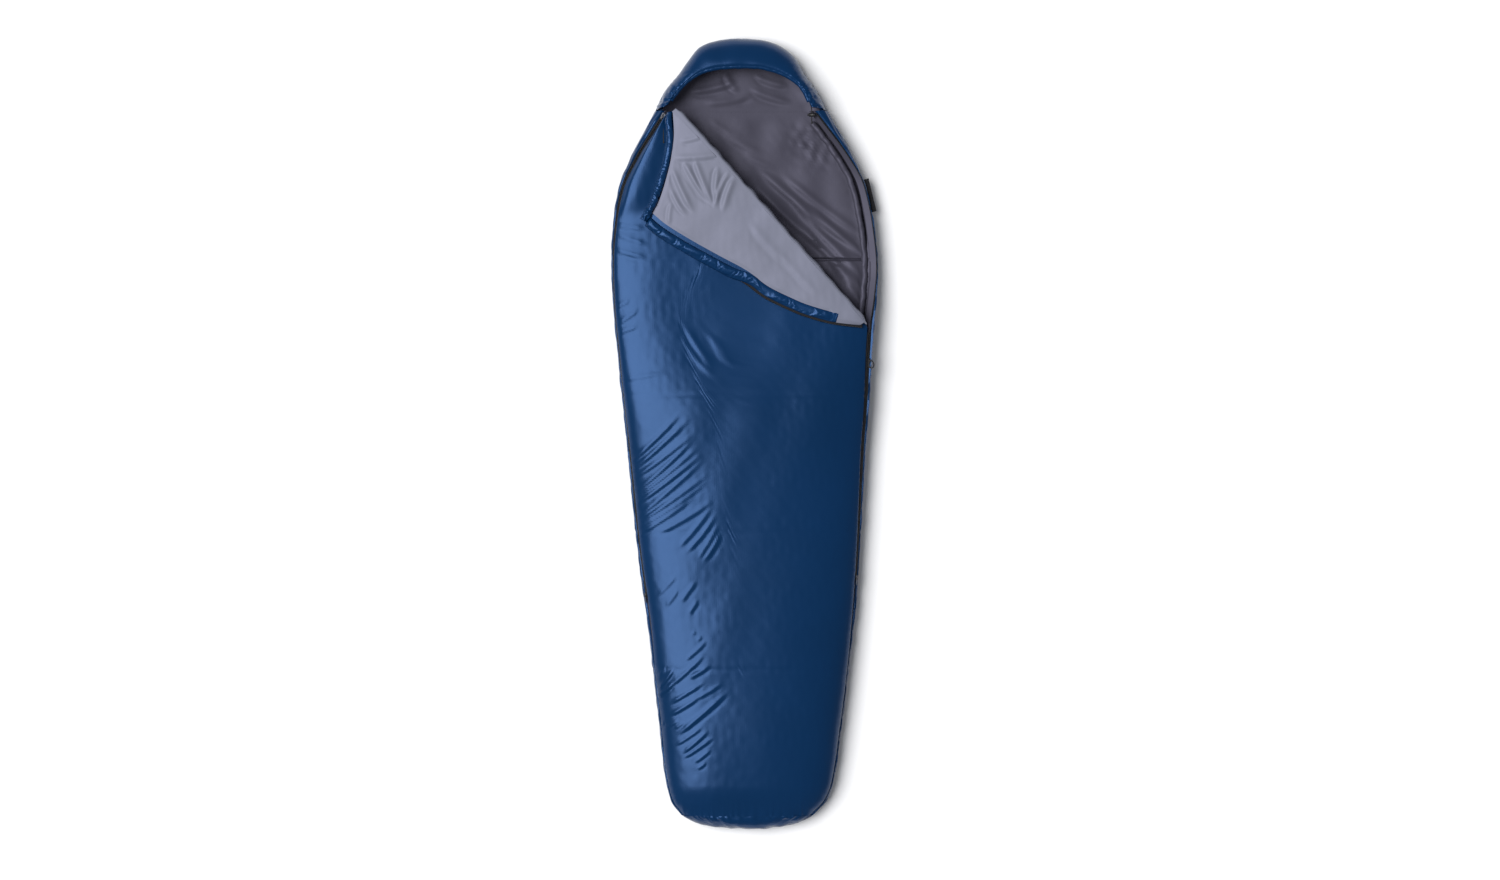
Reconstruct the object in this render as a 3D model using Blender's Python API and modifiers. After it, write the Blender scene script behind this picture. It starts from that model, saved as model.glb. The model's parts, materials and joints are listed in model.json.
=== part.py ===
"""An adult mummy sleeping bag lying open on the floor.

The right side of its front is unzipped and the free corner is folded back to the left.
Metres, +Z up, +Y towards the hood. Lengthwise places are given from the foot end and turned
into Y by world(); crosswise places are X. Cloth is drawn thicker than it is, 1.2 mm.
"""

import bisect
import functools
import math

import bmesh
import bpy
from mathutils import Matrix, Vector

# Driving dimensions
LENGTH = 2.10
SIDE_HEIGHT = 0.032  # height of the widest line above the floor
CORNER = 0.055  # how far in from the widest line the underside turns flat
CLOTH = 0.0012
GAP = 0.0003
BACK_WADDING = 0.017
FRONT_WADDING = 0.020
FLAP_WADDING = 0.017
HOOD_WADDING = 0.014
FOOT_WADDING = 0.013
FOOT_GAP = 0.0015
FOOT_CROWDING = 1.35  # draws the rows of the long quilts closer together at the foot

# Lengthwise stations, from the foot end
FOOT_SEAM = 0.037
NECK_SEAM = 1.905
LEFT_ZIP_BOTTOM = 0.613
RIGHT_ZIP_BOTTOM = 0.660
LEFT_TOP_SLIDER = 1.892
RIGHT_TOP_SLIDER = 1.245

# The zips: two coils side by side, each with its tape, in a channel between front and back
COIL_RADIUS = 0.00125
COIL_OFFSET = 0.0020
TAPE_INNER = 0.0036
TAPE_OUTER = 0.0072
CHANNEL = 0.0115
CLOSED_SEAM = 0.003
COIL_DEPTH = 0.0025
TAPE_DEPTH = 0.0021
TAPE_THICK = 0.0008
SLIDER_WIDTH = 0.0105
SLIDER_LENGTH = 0.012
SLIDER_HEIGHT = 0.0056
PLATE = 0.0012
POST = 0.0004  # half the web that runs between the two coils
BRIDGE_HEIGHT = 0.0030
BRIDGE_REACH = 0.0038
BRIDGE_RADIUS = 0.0006
PULL_WIDTH = 0.0056
PULL_THICK = 0.0010
PULL_HEAD = 0.0006  # from the hinge line to the end of the pull's crossbar
TOP_PULL = 0.012  # pull lengths, at the top and bottom sliders
BOTTOM_PULL = 0.020
SLOT_WIDTH = 0.0024
SLOT_LENGTH = 0.0048
CUT_THROUGH = 0.03  # long enough to pass right through any small fitting

# The fold: from the top of the left zip to the point where the right zip opens
FOLD_START = Vector((-0.183, 1.909))
FOLD_END = Vector((0.329, 1.330))
FOLD_HEIGHT = 0.0915
FLAP_LIFT = 0.003  # the flap's underside over the front
FLAP_GAP = 0.0011
FACING_WIDTH = 0.026
FLAP_COLUMNS = 14
FACING_COLUMNS = 12  # the facing strip stops short of the flap's tip
FACING_END = FACING_COLUMNS / FLAP_COLUMNS
FOLD_REACH = 0.975  # share of the fold line that the flap takes up
FLAP_COIL_LEVEL = 0.0032  # the coil's middle over the flap's underside
FLAP_TAPE_LEVEL = 0.0028
NECK_HEM_RADIUS = 0.0104
DRAFT_TUBE_RADIUS = 0.0085
DRAFT_TUBE_DEPTH = 0.0345

# The hood's drawcord, its tunnel and the cord lock
TUNNEL_RADIUS = 0.0058
TUNNEL_WALL = 0.0008
CORD_RADIUS = 0.0015
LOCK_PLACE = Vector((0.1765, 1.894, 0.0765))
LOCK_LENGTH = 0.017
LOCK_SIZE = 0.0104
BORE_RADIUS = 0.0036
PLUNGER_RADIUS = 0.0032
PLUNGER_TRAVEL = 0.003
CORD_HOLE = 0.0022
END_WALL = 0.0015  # the barrel's closed end, which the spring presses on
SPRING_SPACE = 0.0052
BUTTON_PROUD = 0.0042
SPRING_RADIUS = 0.0024
SPRING_WIRE = 0.0003
BORE_OVERRUN = 0.004
TUNNEL_INSET = 0.0084  # from the opening's edge to the tunnel's middle

# Trims
HANG_TAB = (0.0145, 0.088, 0.0012)
HANG_TAB_STATION = 1.682
PULL_CORD_RADIUS = 0.0013
PULL_CORD_ROUTE = [
    (-0.2195, 1.881), (-0.2172, 1.872), (-0.2160, 1.860), (-0.2158, 1.845), (-0.2156, 1.832),
    (-0.2154, 1.820),
]
PULL_LOOP_ROUTE = [
    (0.0011, -0.0135, 0.0), (0.003, -0.019, 0.0004), (0.007, -0.026, 0.001),
    (0.0085, -0.034, 0.001), (0.004, -0.0405, 0.0005), (-0.003, -0.039, 0.0),
    (-0.006, -0.032, 0.0), (-0.0045, -0.024, 0.0), (-0.002, -0.018, 0.0),
    (-0.0011, -0.0135, 0.0),
]

# (distance from the foot, value) along the bag
HALF_WIDTH = [
    (0.037, 0.175), (0.077, 0.207), (0.130, 0.223), (0.290, 0.244), (0.500, 0.269),
    (0.710, 0.293), (1.030, 0.321), (1.245, 0.340), (1.400, 0.352), (1.500, 0.354),
    (1.600, 0.347), (1.700, 0.330), (1.776, 0.299), (1.880, 0.243), (1.905, 0.229),
]
CENTRE_LINE = [
    (0.037, 0.006), (0.130, 0.013), (0.500, 0.016), (0.820, 0.009), (1.245, 0.004),
    (1.480, 0.000), (1.700, -0.006), (1.905, -0.010),
]
CROWN = [
    (0.037, 0.052), (0.120, 0.074), (0.300, 0.083), (1.050, 0.083), (1.280, 0.064),
    (1.450, 0.058), (1.905, 0.056),
]
FLATNESS = [(0.037, 2.6), (1.000, 2.7), (1.400, 4.4), (1.905, 4.4)]
LEFT_SEAM = [
    (0.037, 0.020), (0.613, 0.027), (1.000, 0.023), (1.400, 0.023), (1.660, 0.034),
    (1.800, 0.048), (1.905, 0.062),
]
RIGHT_SEAM = [
    (0.037, 0.020), (0.660, 0.026), (1.000, 0.038), (1.330, 0.050), (1.420, 0.038),
    (1.500, 0.027), (1.720, 0.032), (1.800, 0.046), (1.905, 0.070),
]

# Plan outlines, (crosswise, from the foot), left to right
HOOD_OUTLINE = [
    (-0.238, 1.908), (-0.215, 1.957), (-0.178, 2.002), (-0.154, 2.036), (-0.116, 2.079),
    (-0.058, 2.097), (-0.008, 2.100), (0.040, 2.096), (0.085, 2.084), (0.129, 2.052),
    (0.162, 2.000), (0.190, 1.960), (0.217, 1.908),
]
HOOD_OPENING = [
    (-0.203, 1.920), (-0.180, 1.952), (-0.149, 1.984), (-0.112, 2.006), (-0.066, 2.017),
    (-0.010, 2.020), (0.034, 2.019), (0.066, 2.012), (0.106, 1.998), (0.140, 1.975),
    (0.158, 1.952), (0.168, 1.930), (0.176, 1.914),
]
FLAP_NECK_EDGE = [
    (-0.191, 1.902), (-0.1885, 1.845), (-0.1965, 1.779), (-0.2124, 1.715), (-0.231, 1.660),
    (-0.262, 1.604),
]
FLAP_ZIP_EDGE = [
    (-0.262, 1.594), (-0.230, 1.569), (-0.167, 1.532), (-0.080, 1.486), (-0.005, 1.447),
    (0.048, 1.408), (0.104, 1.380), (0.157, 1.358), (0.239, 1.3365), (0.319, 1.3275),
]

# Colours (linear RGB), roughness, metallic
FINISHES = {
    "blue_nylon": ((0.020, 0.060, 0.150), 0.42, 0.0),
    "grey_lining": ((0.110, 0.112, 0.135), 0.60, 0.0),
    "white_wadding": ((0.75, 0.75, 0.72), 0.95, 0.0),
    "black_zip": ((0.008, 0.008, 0.010), 0.45, 0.0),
    "dark_metal": ((0.030, 0.030, 0.034), 0.35, 1.0),
    "black_plastic": ((0.010, 0.010, 0.011), 0.40, 0.0),
    "black_cord": ((0.009, 0.009, 0.010), 0.75, 0.0),
    "spring_steel": ((0.55, 0.56, 0.58), 0.25, 1.0),
    "black_webbing": ((0.012, 0.012, 0.013), 0.80, 0.0),
}


def through(points):
    """A smooth function through (place, value) points, which never overshoots them."""
    places = [place for place, _ in points]
    values = [value for _, value in points]
    steps = [b - a for a, b in zip(places, places[1:])]
    slopes = [(b - a) / step for a, b, step in zip(values, values[1:], steps)]
    bends = [slopes[0]]
    for before, after in zip(slopes, slopes[1:]):
        bends.append(0.0 if before * after <= 0 else 2 * before * after / (before + after))
    bends.append(slopes[-1])

    @functools.lru_cache(maxsize=None)
    def value_at(place):
        place = min(max(place, places[0]), places[-1])
        i = min(bisect.bisect_right(places, place), len(places) - 1) - 1
        s = (place - places[i]) / steps[i]
        return (
            (1 + 2 * s) * (1 - s) ** 2 * values[i]
            + s * (1 - s) ** 2 * steps[i] * bends[i]
            + s * s * (3 - 2 * s) * values[i + 1]
            + s * s * (s - 1) * steps[i] * bends[i + 1]
        )

    return value_at


def path_through(points):
    """A smooth plan curve through the points, as a function of the share of its length."""
    lengths = [0.0]
    for a, b in zip(points, points[1:]):
        lengths.append(lengths[-1] + math.dist(a, b))
    across = through([(s / lengths[-1], p[0]) for s, p in zip(lengths, points)])
    along = through([(s / lengths[-1], p[1]) for s, p in zip(lengths, points)])
    return lambda share: Vector((across(share), along(share)))


half_width = through(HALF_WIDTH)
centre_line = through(CENTRE_LINE)
crown = through(CROWN)
flatness = through(FLATNESS)
hood_outline = path_through(HOOD_OUTLINE)
hood_opening = path_through(HOOD_OPENING)
flap_neck_edge = path_through(FLAP_NECK_EDGE)
flap_zip_edge = path_through(FLAP_ZIP_EDGE)
SEAM_ARC = {"left": through(LEFT_SEAM), "right": through(RIGHT_SEAM)}
ZIP_BOTTOM = {"left": LEFT_ZIP_BOTTOM, "right": RIGHT_ZIP_BOTTOM}
SIDE_SIGN = {"left": -1, "right": 1}


def world(across, from_foot, height):
    return Vector((across, from_foot - LENGTH / 2, height))


def mix(a, b, share):
    return a + (b - a) * share


# The cross-section: a flat underside, round corners up to the widest line, and a crown


def crown_point(from_foot, angle, depth):
    """A point on the crown, depth inside its outer face; angle 0 is the right widest line."""
    bend = 2 / flatness(from_foot)
    wide = half_width(from_foot) - depth
    tall = crown(from_foot) - depth
    across = math.copysign(abs(math.cos(angle)) ** bend, math.cos(angle))
    rise = abs(math.sin(angle)) ** bend
    return world(centre_line(from_foot) + wide * across, from_foot, SIDE_HEIGHT + tall * rise)


@functools.lru_cache(maxsize=None)
def angle_up(from_foot, arc):
    """The section angle that lies arc up the crown's outer face from the widest line."""
    steps = 240
    walked = 0.0
    last = crown_point(from_foot, 0.0, 0.0)
    for i in range(1, steps + 1):
        angle = (i / steps) ** 2 * math.pi / 2
        here = crown_point(from_foot, angle, 0.0)
        step = (here - last).length
        if walked + step >= arc:
            before = ((i - 1) / steps) ** 2 * math.pi / 2
            return before + (angle - before) * (arc - walked) / step
        walked += step
        last = here
    return math.pi / 2


def seam_point(side, from_foot, arc_offset, depth):
    """A point at the side seam, arc_offset further up the crown, depth under its face."""
    angle = angle_up(from_foot, SEAM_ARC[side](from_foot) + arc_offset)
    return crown_point(from_foot, angle if side == "right" else math.pi - angle, depth)


def seam_gap(side, from_foot):
    """Half the channel between front and back: open at the zip, closed below it."""
    below = (ZIP_BOTTOM[side] - 0.10 - from_foot) / 0.10
    return mix(CHANNEL, CLOSED_SEAM, min(max(below, 0.0), 1.0))


def edge_angle(side, from_foot, direction):
    arc = SEAM_ARC[side](from_foot) + direction * seam_gap(side, from_foot)
    return angle_up(from_foot, arc)


def crown_height(across, from_foot):
    """Height of the crown's outer face over a plan point."""
    share = abs(across - centre_line(from_foot)) / half_width(from_foot)
    power = flatness(from_foot)
    return SIDE_HEIGHT + crown(from_foot) * max(0.0, 1 - share**power) ** (1 / power)


# Building blocks


def material_for(finish):
    if finish in bpy.data.materials:
        return bpy.data.materials[finish]
    colour, roughness, metallic = FINISHES[finish]
    material = bpy.data.materials.new(finish)
    material.use_nodes = True
    shader = material.node_tree.nodes["Principled BSDF"]
    shader.inputs["Base Color"].default_value = (*colour, 1.0)
    shader.inputs["Roughness"].default_value = roughness
    shader.inputs["Metallic"].default_value = metallic
    return material


def own_material(name, finish):
    """The part's own material, a copy of its finish."""
    material = material_for(finish).copy()
    material.name = f"{name}_{finish}"
    return material


def hang_on(piece, parent):
    if parent:
        piece.parent = parent
        piece.matrix_parent_inverse = parent.matrix_world.inverted()


def add_part(name, data, finish, parent=None):
    part = bpy.data.objects.new(name, data)
    data.materials.clear()
    data.materials.append(own_material(name, finish))
    PARTS.objects.link(part)
    hang_on(part, parent)
    return part


def layer(name, finish, columns, rows, outer, inner, parent=None):
    """A closed layer: a grid laid on its outer face and pushed out to its inner face."""
    shape = bmesh.new()
    bmesh.ops.create_grid(shape, x_segments=columns, y_segments=rows, size=0.5)
    shares = {v: (v.co.x + 0.5, v.co.y + 0.5) for v in shape.verts}
    pushed = bmesh.ops.extrude_face_region(shape, geom=list(shape.faces))["geom"]
    inner_shares = {
        v: (v.co.x + 0.5, v.co.y + 0.5) for v in pushed if isinstance(v, bmesh.types.BMVert)
    }
    for vertex, share in shares.items():
        vertex.co = outer(*share)
    for vertex, share in inner_shares.items():
        vertex.co = inner(*share)
    bmesh.ops.recalc_face_normals(shape, faces=list(shape.faces))
    if shape.calc_volume(signed=True) < 0:
        bmesh.ops.reverse_faces(shape, faces=list(shape.faces))
    data = bpy.data.meshes.new(name)
    shape.to_mesh(data)
    shape.free()
    data.shade_smooth()
    return add_part(name, data, finish, parent)


def between(face, outer_depth, inner_depth):
    """The outer and inner faces of a layer of a quilt whose surface takes a depth."""
    return (
        lambda across, along: face(across, along, outer_depth),
        lambda across, along: face(across, along, inner_depth),
    )


def quilt(name, face, columns, rows, wadding, gap=GAP):
    """Shell, wadding and lining, one inside the other with a gap between."""
    shell_in = CLOTH
    wadding_out = shell_in + gap
    wadding_in = wadding_out + wadding
    lining_out = wadding_in + gap
    layers = (
        ("shell", "blue_nylon", 0.0, shell_in),
        ("insulation", "white_wadding", wadding_out, wadding_in),
        ("lining", "grey_lining", lining_out, lining_out + CLOTH),
    )
    for part, finish, outer, inner in layers:
        layer(f"{name}_{part}", finish, columns, rows, *between(face, outer, inner))


def tube(name, finish, points, radius, parent=None, sides=2, hollow=0.0):
    """A round tube along the points; hollow leaves its ends open, with that wall."""
    curve = bpy.data.curves.new(name, "CURVE")
    curve.dimensions = "3D"
    curve.bevel_depth = radius
    curve.bevel_resolution = sides
    curve.use_fill_caps = not hollow
    spline = curve.splines.new("POLY")
    spline.points.add(len(points) - 1)
    for target, point in zip(spline.points, points):
        target.co = (*point, 1.0)
    part = add_part(name, curve, finish, parent)
    if hollow:
        wall = part.modifiers.new("Wall", "SOLIDIFY")
        wall.thickness = hollow
        wall.offset = -1
    return part


def box(name, finish, size, matrix, bevel, parent=None):
    data = bpy.data.meshes.new(name)
    shape = bmesh.new()
    bmesh.ops.create_cube(shape, size=1.0, matrix=Matrix.Diagonal((*size, 1.0)))
    shape.to_mesh(data)
    shape.free()
    part = add_part(name, data, finish)
    part.matrix_world = matrix
    hang_on(part, parent)
    if bevel:
        edges = part.modifiers.new("Edges", "BEVEL")
        edges.width = bevel
        edges.segments = 2
    return part


def axis_empty(name, matrix):
    """An empty on a joint's axis, which the moving pieces are parented to."""
    empty = bpy.data.objects.new(name, None)
    empty.empty_display_size = 0.02
    PARTS.objects.link(empty)
    empty.matrix_world = matrix
    return empty


# The quilts


def back_face(across, along, depth):
    """The back from its left zip edge round the underside to its right zip edge."""
    from_foot = mix(FOOT_SEAM, NECK_SEAM, along**FOOT_CROWDING)
    wide = half_width(from_foot)
    side = "left" if across < 0.5 else "right"
    sign = SIDE_SIGN[side]
    share = abs(2 * across - 1)
    flat_share, corner_share = 0.4, 0.7
    if share <= flat_share:
        x = centre_line(from_foot) + sign * (wide - CORNER) * share / flat_share
        return world(x, from_foot, depth)
    if share <= corner_share:
        angle = (share - flat_share) / (corner_share - flat_share) * math.pi / 2
        x = centre_line(from_foot) + sign * (wide - CORNER + (CORNER - depth) * math.sin(angle))
        return world(x, from_foot, SIDE_HEIGHT - (SIDE_HEIGHT - depth) * math.cos(angle))
    rise = (share - corner_share) / (1 - corner_share)
    angle = edge_angle(side, from_foot, -1) * rise**1.6
    return crown_point(from_foot, angle if side == "right" else math.pi - angle, depth)


def front_limit(across):
    """The front's top edge over a crosswise place: the neck edge, then the fold line."""
    share = (across - FOLD_START.x) / (FOLD_END.x - FOLD_START.x)
    if share < 0:
        return FOLD_START.y + 0.45 * (across - FOLD_START.x)
    return mix(FOLD_START.y, FOLD_END.y, share)


def front_angle(across, from_foot):
    left = math.pi - edge_angle("left", from_foot, 1)
    return mix(left, edge_angle("right", from_foot, 1), across)


@functools.lru_cache(maxsize=None)
def front_top(across, depth):
    """Where a column of the front meets its top edge, found by halving."""
    low, high = 1.20, NECK_SEAM
    for _ in range(40):
        middle = (low + high) / 2
        x = crown_point(middle, front_angle(across, middle), depth).x
        if front_limit(x) > middle:
            low = middle
        else:
            high = middle
    return low


def front_face(across, along, depth):
    from_foot = mix(FOOT_SEAM, front_top(across, depth), along**FOOT_CROWDING)
    return crown_point(from_foot, front_angle(across, from_foot), depth)


def foot_face(across, along, depth):
    """The footbox cap, a domed end inside the outline of the last section."""
    a, b = 2 * across - 1, 2 * along - 1
    reach = max(abs(a), abs(b))
    centre = world(centre_line(FOOT_SEAM), FOOT_SEAM, SIDE_HEIGHT)
    if reach < 1e-9:
        rim, share = centre, 0.0
    else:
        angle = math.atan2(b, a)
        rim = crown_point(FOOT_SEAM, abs(angle), depth)
        if angle < 0:
            fall = abs(math.sin(angle)) ** 0.4
            rim.z = SIDE_HEIGHT - (SIDE_HEIGHT - depth) * fall
            spread = math.copysign(abs(math.cos(angle)) ** 0.4, math.cos(angle))
            rim.x = centre.x + (half_width(FOOT_SEAM) - depth) * spread
        share = math.sin(reach * math.pi / 2)
    point = mix(centre, rim, share)
    bulge = (FOOT_SEAM - 0.0006 - depth) * (1 - share**2.4) ** (1 / 2.4)
    point.y -= 0.0006 + bulge
    return point


@functools.lru_cache(maxsize=None)
def hood_ring(depth):
    """The hood's plan outline, set in by depth."""
    count = 160
    ring = []
    for i in range(count + 1):
        share = i / count
        here = hood_outline(share)
        ahead = hood_outline(min(share + 0.01, 1.0)) - hood_outline(max(share - 0.01, 0.0))
        ahead.normalize()
        ring.append(here + Vector((ahead.y, -ahead.x)) * depth)
    return ring


@functools.lru_cache(maxsize=None)
def hood_sides(depth, from_foot):
    """Left and right edges of the set-in outline at a station."""
    ring = hood_ring(depth)
    crossings = []
    for a, b in zip(ring, ring[1:]):
        if (a.y - from_foot) * (b.y - from_foot) <= 0 and a.y != b.y:
            crossings.append(mix(a.x, b.x, (from_foot - a.y) / (b.y - a.y)))
    return min(crossings), max(crossings)


def hood_back_face(across, along, depth):
    """The dish of the hood: flat inside, its rim curving up to the widest line."""
    top = max(point.y for point in hood_ring(depth)) - 0.0015
    from_foot = mix(NECK_SEAM + 0.0045, top, 1 - (1 - along) ** 1.6)
    left, right = hood_sides(depth, from_foot)
    share = 0.5 - 0.5 * math.cos(math.pi * across)
    point = Vector((mix(left, right, share), from_foot))
    nearest = min((point - ring).length for ring in hood_ring(depth))
    on_rim = across in (0.0, 1.0) or along == 1.0
    inside = 0.0 if on_rim else min(nearest / (CORNER - depth), 1.0)
    rise = 1 - math.sqrt(1 - (1 - inside) ** 2)
    return world(point.x, from_foot, mix(depth, SIDE_HEIGHT - 0.0004, rise))


def visor_height(share):
    return 0.058 + 0.006 * math.sin(math.pi * share)


def visor_face(along, around, depth):
    """The hood's brim, from the widest line up and over to the edge of the opening."""
    outer, inner = hood_outline(along), hood_opening(along)
    reach = (inner - outer).length
    turn = around * math.pi / 2
    share = depth / reach + (1 - depth / reach) * (1 - math.cos(turn))
    place = mix(outer, inner, share)
    rise = (visor_height(along) - depth) * math.sin(turn)
    return world(place.x, place.y, SIDE_HEIGHT + 0.0004 + rise)


def flap_edge(share):
    """The flap's free fabric edge, set in from the coil by the width of tape and channel."""
    here = flap_zip_edge(share)
    ahead = flap_zip_edge(min(share + 0.02, 1.0)) - flap_zip_edge(max(share - 0.02, 0.0))
    ahead.normalize()
    return here, Vector((-ahead.y, ahead.x))


def flap_plan(along, out):
    """Plan place on the flap: along from the neck edge to the tip, out from fold to zip."""
    reach = FOLD_REACH * along
    fold = mix(FOLD_START, FOLD_END, reach)
    edge, inward = flap_edge(reach)
    edge = edge + inward * CHANNEL
    straight = mix(fold, edge, out)
    neck = flap_neck_edge(out) - mix(FOLD_START, flap_edge(0.0)[0], out)
    return straight + neck * (1 - along) ** 3


def flap_height(place):
    return crown_height(place.x, place.y) + FLAP_LIFT


def flap_taper(along, out):
    """Share of the full wadding: thin at the free edges and at the tip."""
    edge = 1 - 0.65 * out**3
    tip = 1 - 0.6 * along**4
    neck = 1 - 0.4 * (1 - along) ** 8
    return edge * tip * neck


def flap_face(along, out, level):
    """The folded-back flap; level runs 0 to 1 through the shell, 1 to 2, and 2 to 3."""
    place = flap_plan(along, out)
    wadding = FLAP_WADDING * flap_taper(along, out)
    starts = [0.0, CLOTH + GAP, CLOTH + GAP + wadding + FLAP_GAP]
    thick = [CLOTH, wadding, CLOTH]
    i = min(int(level), 2)
    rise = starts[i] + thick[i] * (level - i)
    return world(place.x, place.y, flap_height(place) + rise)


def facing_share(along):
    """Share of the flap's depth that the facing strip takes beside the zip."""
    depth = (flap_plan(along, 1.0) - flap_plan(along, 0.0)).length
    fade = min(max((FACING_END + 0.05 - along) / 0.05, 0.0), 1.0)
    return min(FACING_WIDTH / depth, 0.45) * fade


def flap_lining_face(along, out, level):
    return flap_face(along, out * (1 - facing_share(along)), level)


def flap_facing_face(along, out, level):
    along = along * FACING_END
    start = 1 - facing_share(along)
    return flap_face(along, mix(start + 0.004, 1.0, out), level)


def build_quilts(flap_axis):
    quilt("back", back_face, 20, 18, BACK_WADDING)
    quilt("front", front_face, 12, 18, FRONT_WADDING)
    quilt("footbox", foot_face, 8, 8, FOOT_WADDING, FOOT_GAP)
    quilt("hood_back", hood_back_face, 10, 8, HOOD_WADDING)
    quilt("visor", visor_face, 16, 4, HOOD_WADDING)
    shell_faces = between(flap_face, 0, 0.999)
    layer("flap_shell", "blue_nylon", FLAP_COLUMNS, 6, *shell_faces, flap_axis)
    wadding_faces = between(flap_face, 1, 1.999)
    lining_faces = between(flap_lining_face, 2, 3)
    facing_faces = between(flap_facing_face, 2, 3)
    layer("flap_insulation", "white_wadding", FLAP_COLUMNS, 6, *wadding_faces, flap_axis)
    layer("flap_lining", "grey_lining", FLAP_COLUMNS, 6, *lining_faces, flap_axis)
    layer("flap_facing", "blue_nylon", FACING_COLUMNS, 1, *facing_faces, flap_axis)


# The zips


def zip_stations(low, high, count):
    return [mix(low, high, i / (count - 1)) for i in range(count)]


def add_chain(name, side, direction, low, high, count, parent=None):
    """One coil and its tape, on the front (direction +1) or the back (-1) of the zip."""
    stations = zip_stations(low, high, count)
    coil = [seam_point(side, v, direction * COIL_OFFSET, COIL_DEPTH) for v in stations]
    tube(f"{name}_coil", "black_zip", coil, COIL_RADIUS, parent, sides=1)

    def tape_face(across, along, depth):
        arc = direction * mix(TAPE_INNER, TAPE_OUTER, across)
        return seam_point(side, mix(low, high, along), arc, depth)

    faces = between(tape_face, TAPE_DEPTH, TAPE_DEPTH + TAPE_THICK)
    layer(f"{name}_tape", "black_zip", 1, count - 1, *faces, parent)


def add_flap_chain(parent):
    """The flap's coil and tape, along its free edge, lying level with its cloth."""
    count = 22

    def place(share, inset, level):
        here, inward = flap_edge(mix(0.03, 0.985, share))
        point = here + inward * inset
        return world(point.x, point.y, flap_height(point) + level)

    coil = [place(i / (count - 1), COIL_OFFSET, FLAP_COIL_LEVEL) for i in range(count)]
    tube("flap_zip_coil", "black_zip", coil, COIL_RADIUS, parent, sides=1)

    def tape_face(across, along, rise):
        return place(along, mix(TAPE_INNER, TAPE_OUTER, across), FLAP_TAPE_LEVEL + rise)

    faces = between(tape_face, 0.0, TAPE_THICK)
    layer("flap_zip_tape", "black_zip", 1, count - 1, *faces, parent)


def seam_axes(side, from_foot):
    """The zip's place, direction, outward normal and crosswise direction at a station."""
    place = seam_point(side, from_foot, 0.0, COIL_DEPTH)
    ahead = seam_point(side, from_foot + 0.01, 0.0, COIL_DEPTH)
    behind = seam_point(side, from_foot - 0.01, 0.0, COIL_DEPTH)
    along = (ahead - behind).normalized()
    above = seam_point(side, from_foot, 0.003, COIL_DEPTH)
    below = seam_point(side, from_foot, -0.003, COIL_DEPTH)
    across = (above - below).normalized()
    normal = along.cross(across).normalized()
    if normal.z < 0 or normal.x * SIDE_SIGN[side] < -0.9:
        normal = -normal
    across = normal.cross(along).normalized()
    return place, along, normal, across


def slider_matrix(side, from_foot):
    """Local X across the zip, Y along it, Z out of the bag."""
    place, along, normal, across = seam_axes(side, from_foot)
    turn = Matrix((-across, along, normal)).transposed()
    if turn.determinant() < 0:
        turn = Matrix((across, along, normal)).transposed()
    return Matrix.Translation(place) @ turn.to_4x4()


def slider_outline():
    """Two plates above and below the coils, joined by a web between them."""
    wide, tall = SLIDER_WIDTH / 2, SLIDER_HEIGHT / 2
    right = [(POST, -tall + PLATE), (wide, -tall + PLATE), (wide, -tall)]
    left = [(-wide, -tall), (-wide, -tall + PLATE), (-POST, -tall + PLATE)]
    top_left = [(-POST, tall - PLATE), (-wide, tall - PLATE), (-wide, tall)]
    top_right = [(wide, tall), (wide, tall - PLATE), (POST, tall - PLATE)]
    return right + left + top_left + top_right


def drawn_out(name, finish, corners, step, matrix, parent):
    """A flat outline drawn out by a step into a solid."""
    shape = bmesh.new()
    face = shape.faces.new([shape.verts.new(corner) for corner in corners])
    drawn = bmesh.ops.extrude_face_region(shape, geom=[face])["geom"]
    moved = [v for v in drawn if isinstance(v, bmesh.types.BMVert)]
    bmesh.ops.translate(shape, verts=moved, vec=step)
    bmesh.ops.recalc_face_normals(shape, faces=list(shape.faces))
    data = bpy.data.meshes.new(name)
    shape.to_mesh(data)
    shape.free()
    part = add_part(name, data, finish)
    part.matrix_world = matrix
    hang_on(part, parent)
    return part


def cut_with(part, name, matrix, size=None, radius=None, depth=None):
    """Cuts a box of a size, or a cylinder along its Z, out of a part."""
    shape = bmesh.new()
    if size:
        bmesh.ops.create_cube(shape, size=1.0, matrix=Matrix.Diagonal((*size, 1.0)))
    else:
        bmesh.ops.create_cone(
            shape, cap_ends=True, segments=14, radius1=radius, radius2=radius, depth=depth
        )
    data = bpy.data.meshes.new(name)
    shape.to_mesh(data)
    shape.free()
    cutter = bpy.data.objects.new(name, data)
    CUTTERS.objects.link(cutter)
    cutter.matrix_world = matrix
    cutter.hide_render = True
    cutter.display_type = "WIRE"
    cut = part.modifiers.new(name, "BOOLEAN")
    cut.operation = "DIFFERENCE"
    cut.object = cutter


def add_pull(name, axis, length):
    """A flat pull: its crossbar lies under the bridge and its slot lets the bridge through."""
    half = PULL_WIDTH / 2
    centre = half - length
    corners = [(half, PULL_HEAD), (-half, PULL_HEAD)]
    for i in range(9):
        turn = math.pi * (1 + i / 8)
        corners.append((half * math.cos(turn), centre + half * math.sin(turn)))
    corners = [(x, y, -PULL_THICK / 2) for x, y in corners]
    turn = axis.matrix_world
    part = drawn_out(name, "dark_metal", corners, (0, 0, PULL_THICK), turn, axis)
    slot_middle = Matrix.Translation((0.0, -PULL_HEAD - SLOT_LENGTH / 2, 0.0))
    slot = (SLOT_WIDTH, SLOT_LENGTH, CUT_THROUGH)
    cut_with(part, f"{name}_slot_cutter", axis.matrix_world @ slot_middle, size=slot)
    return part


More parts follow.
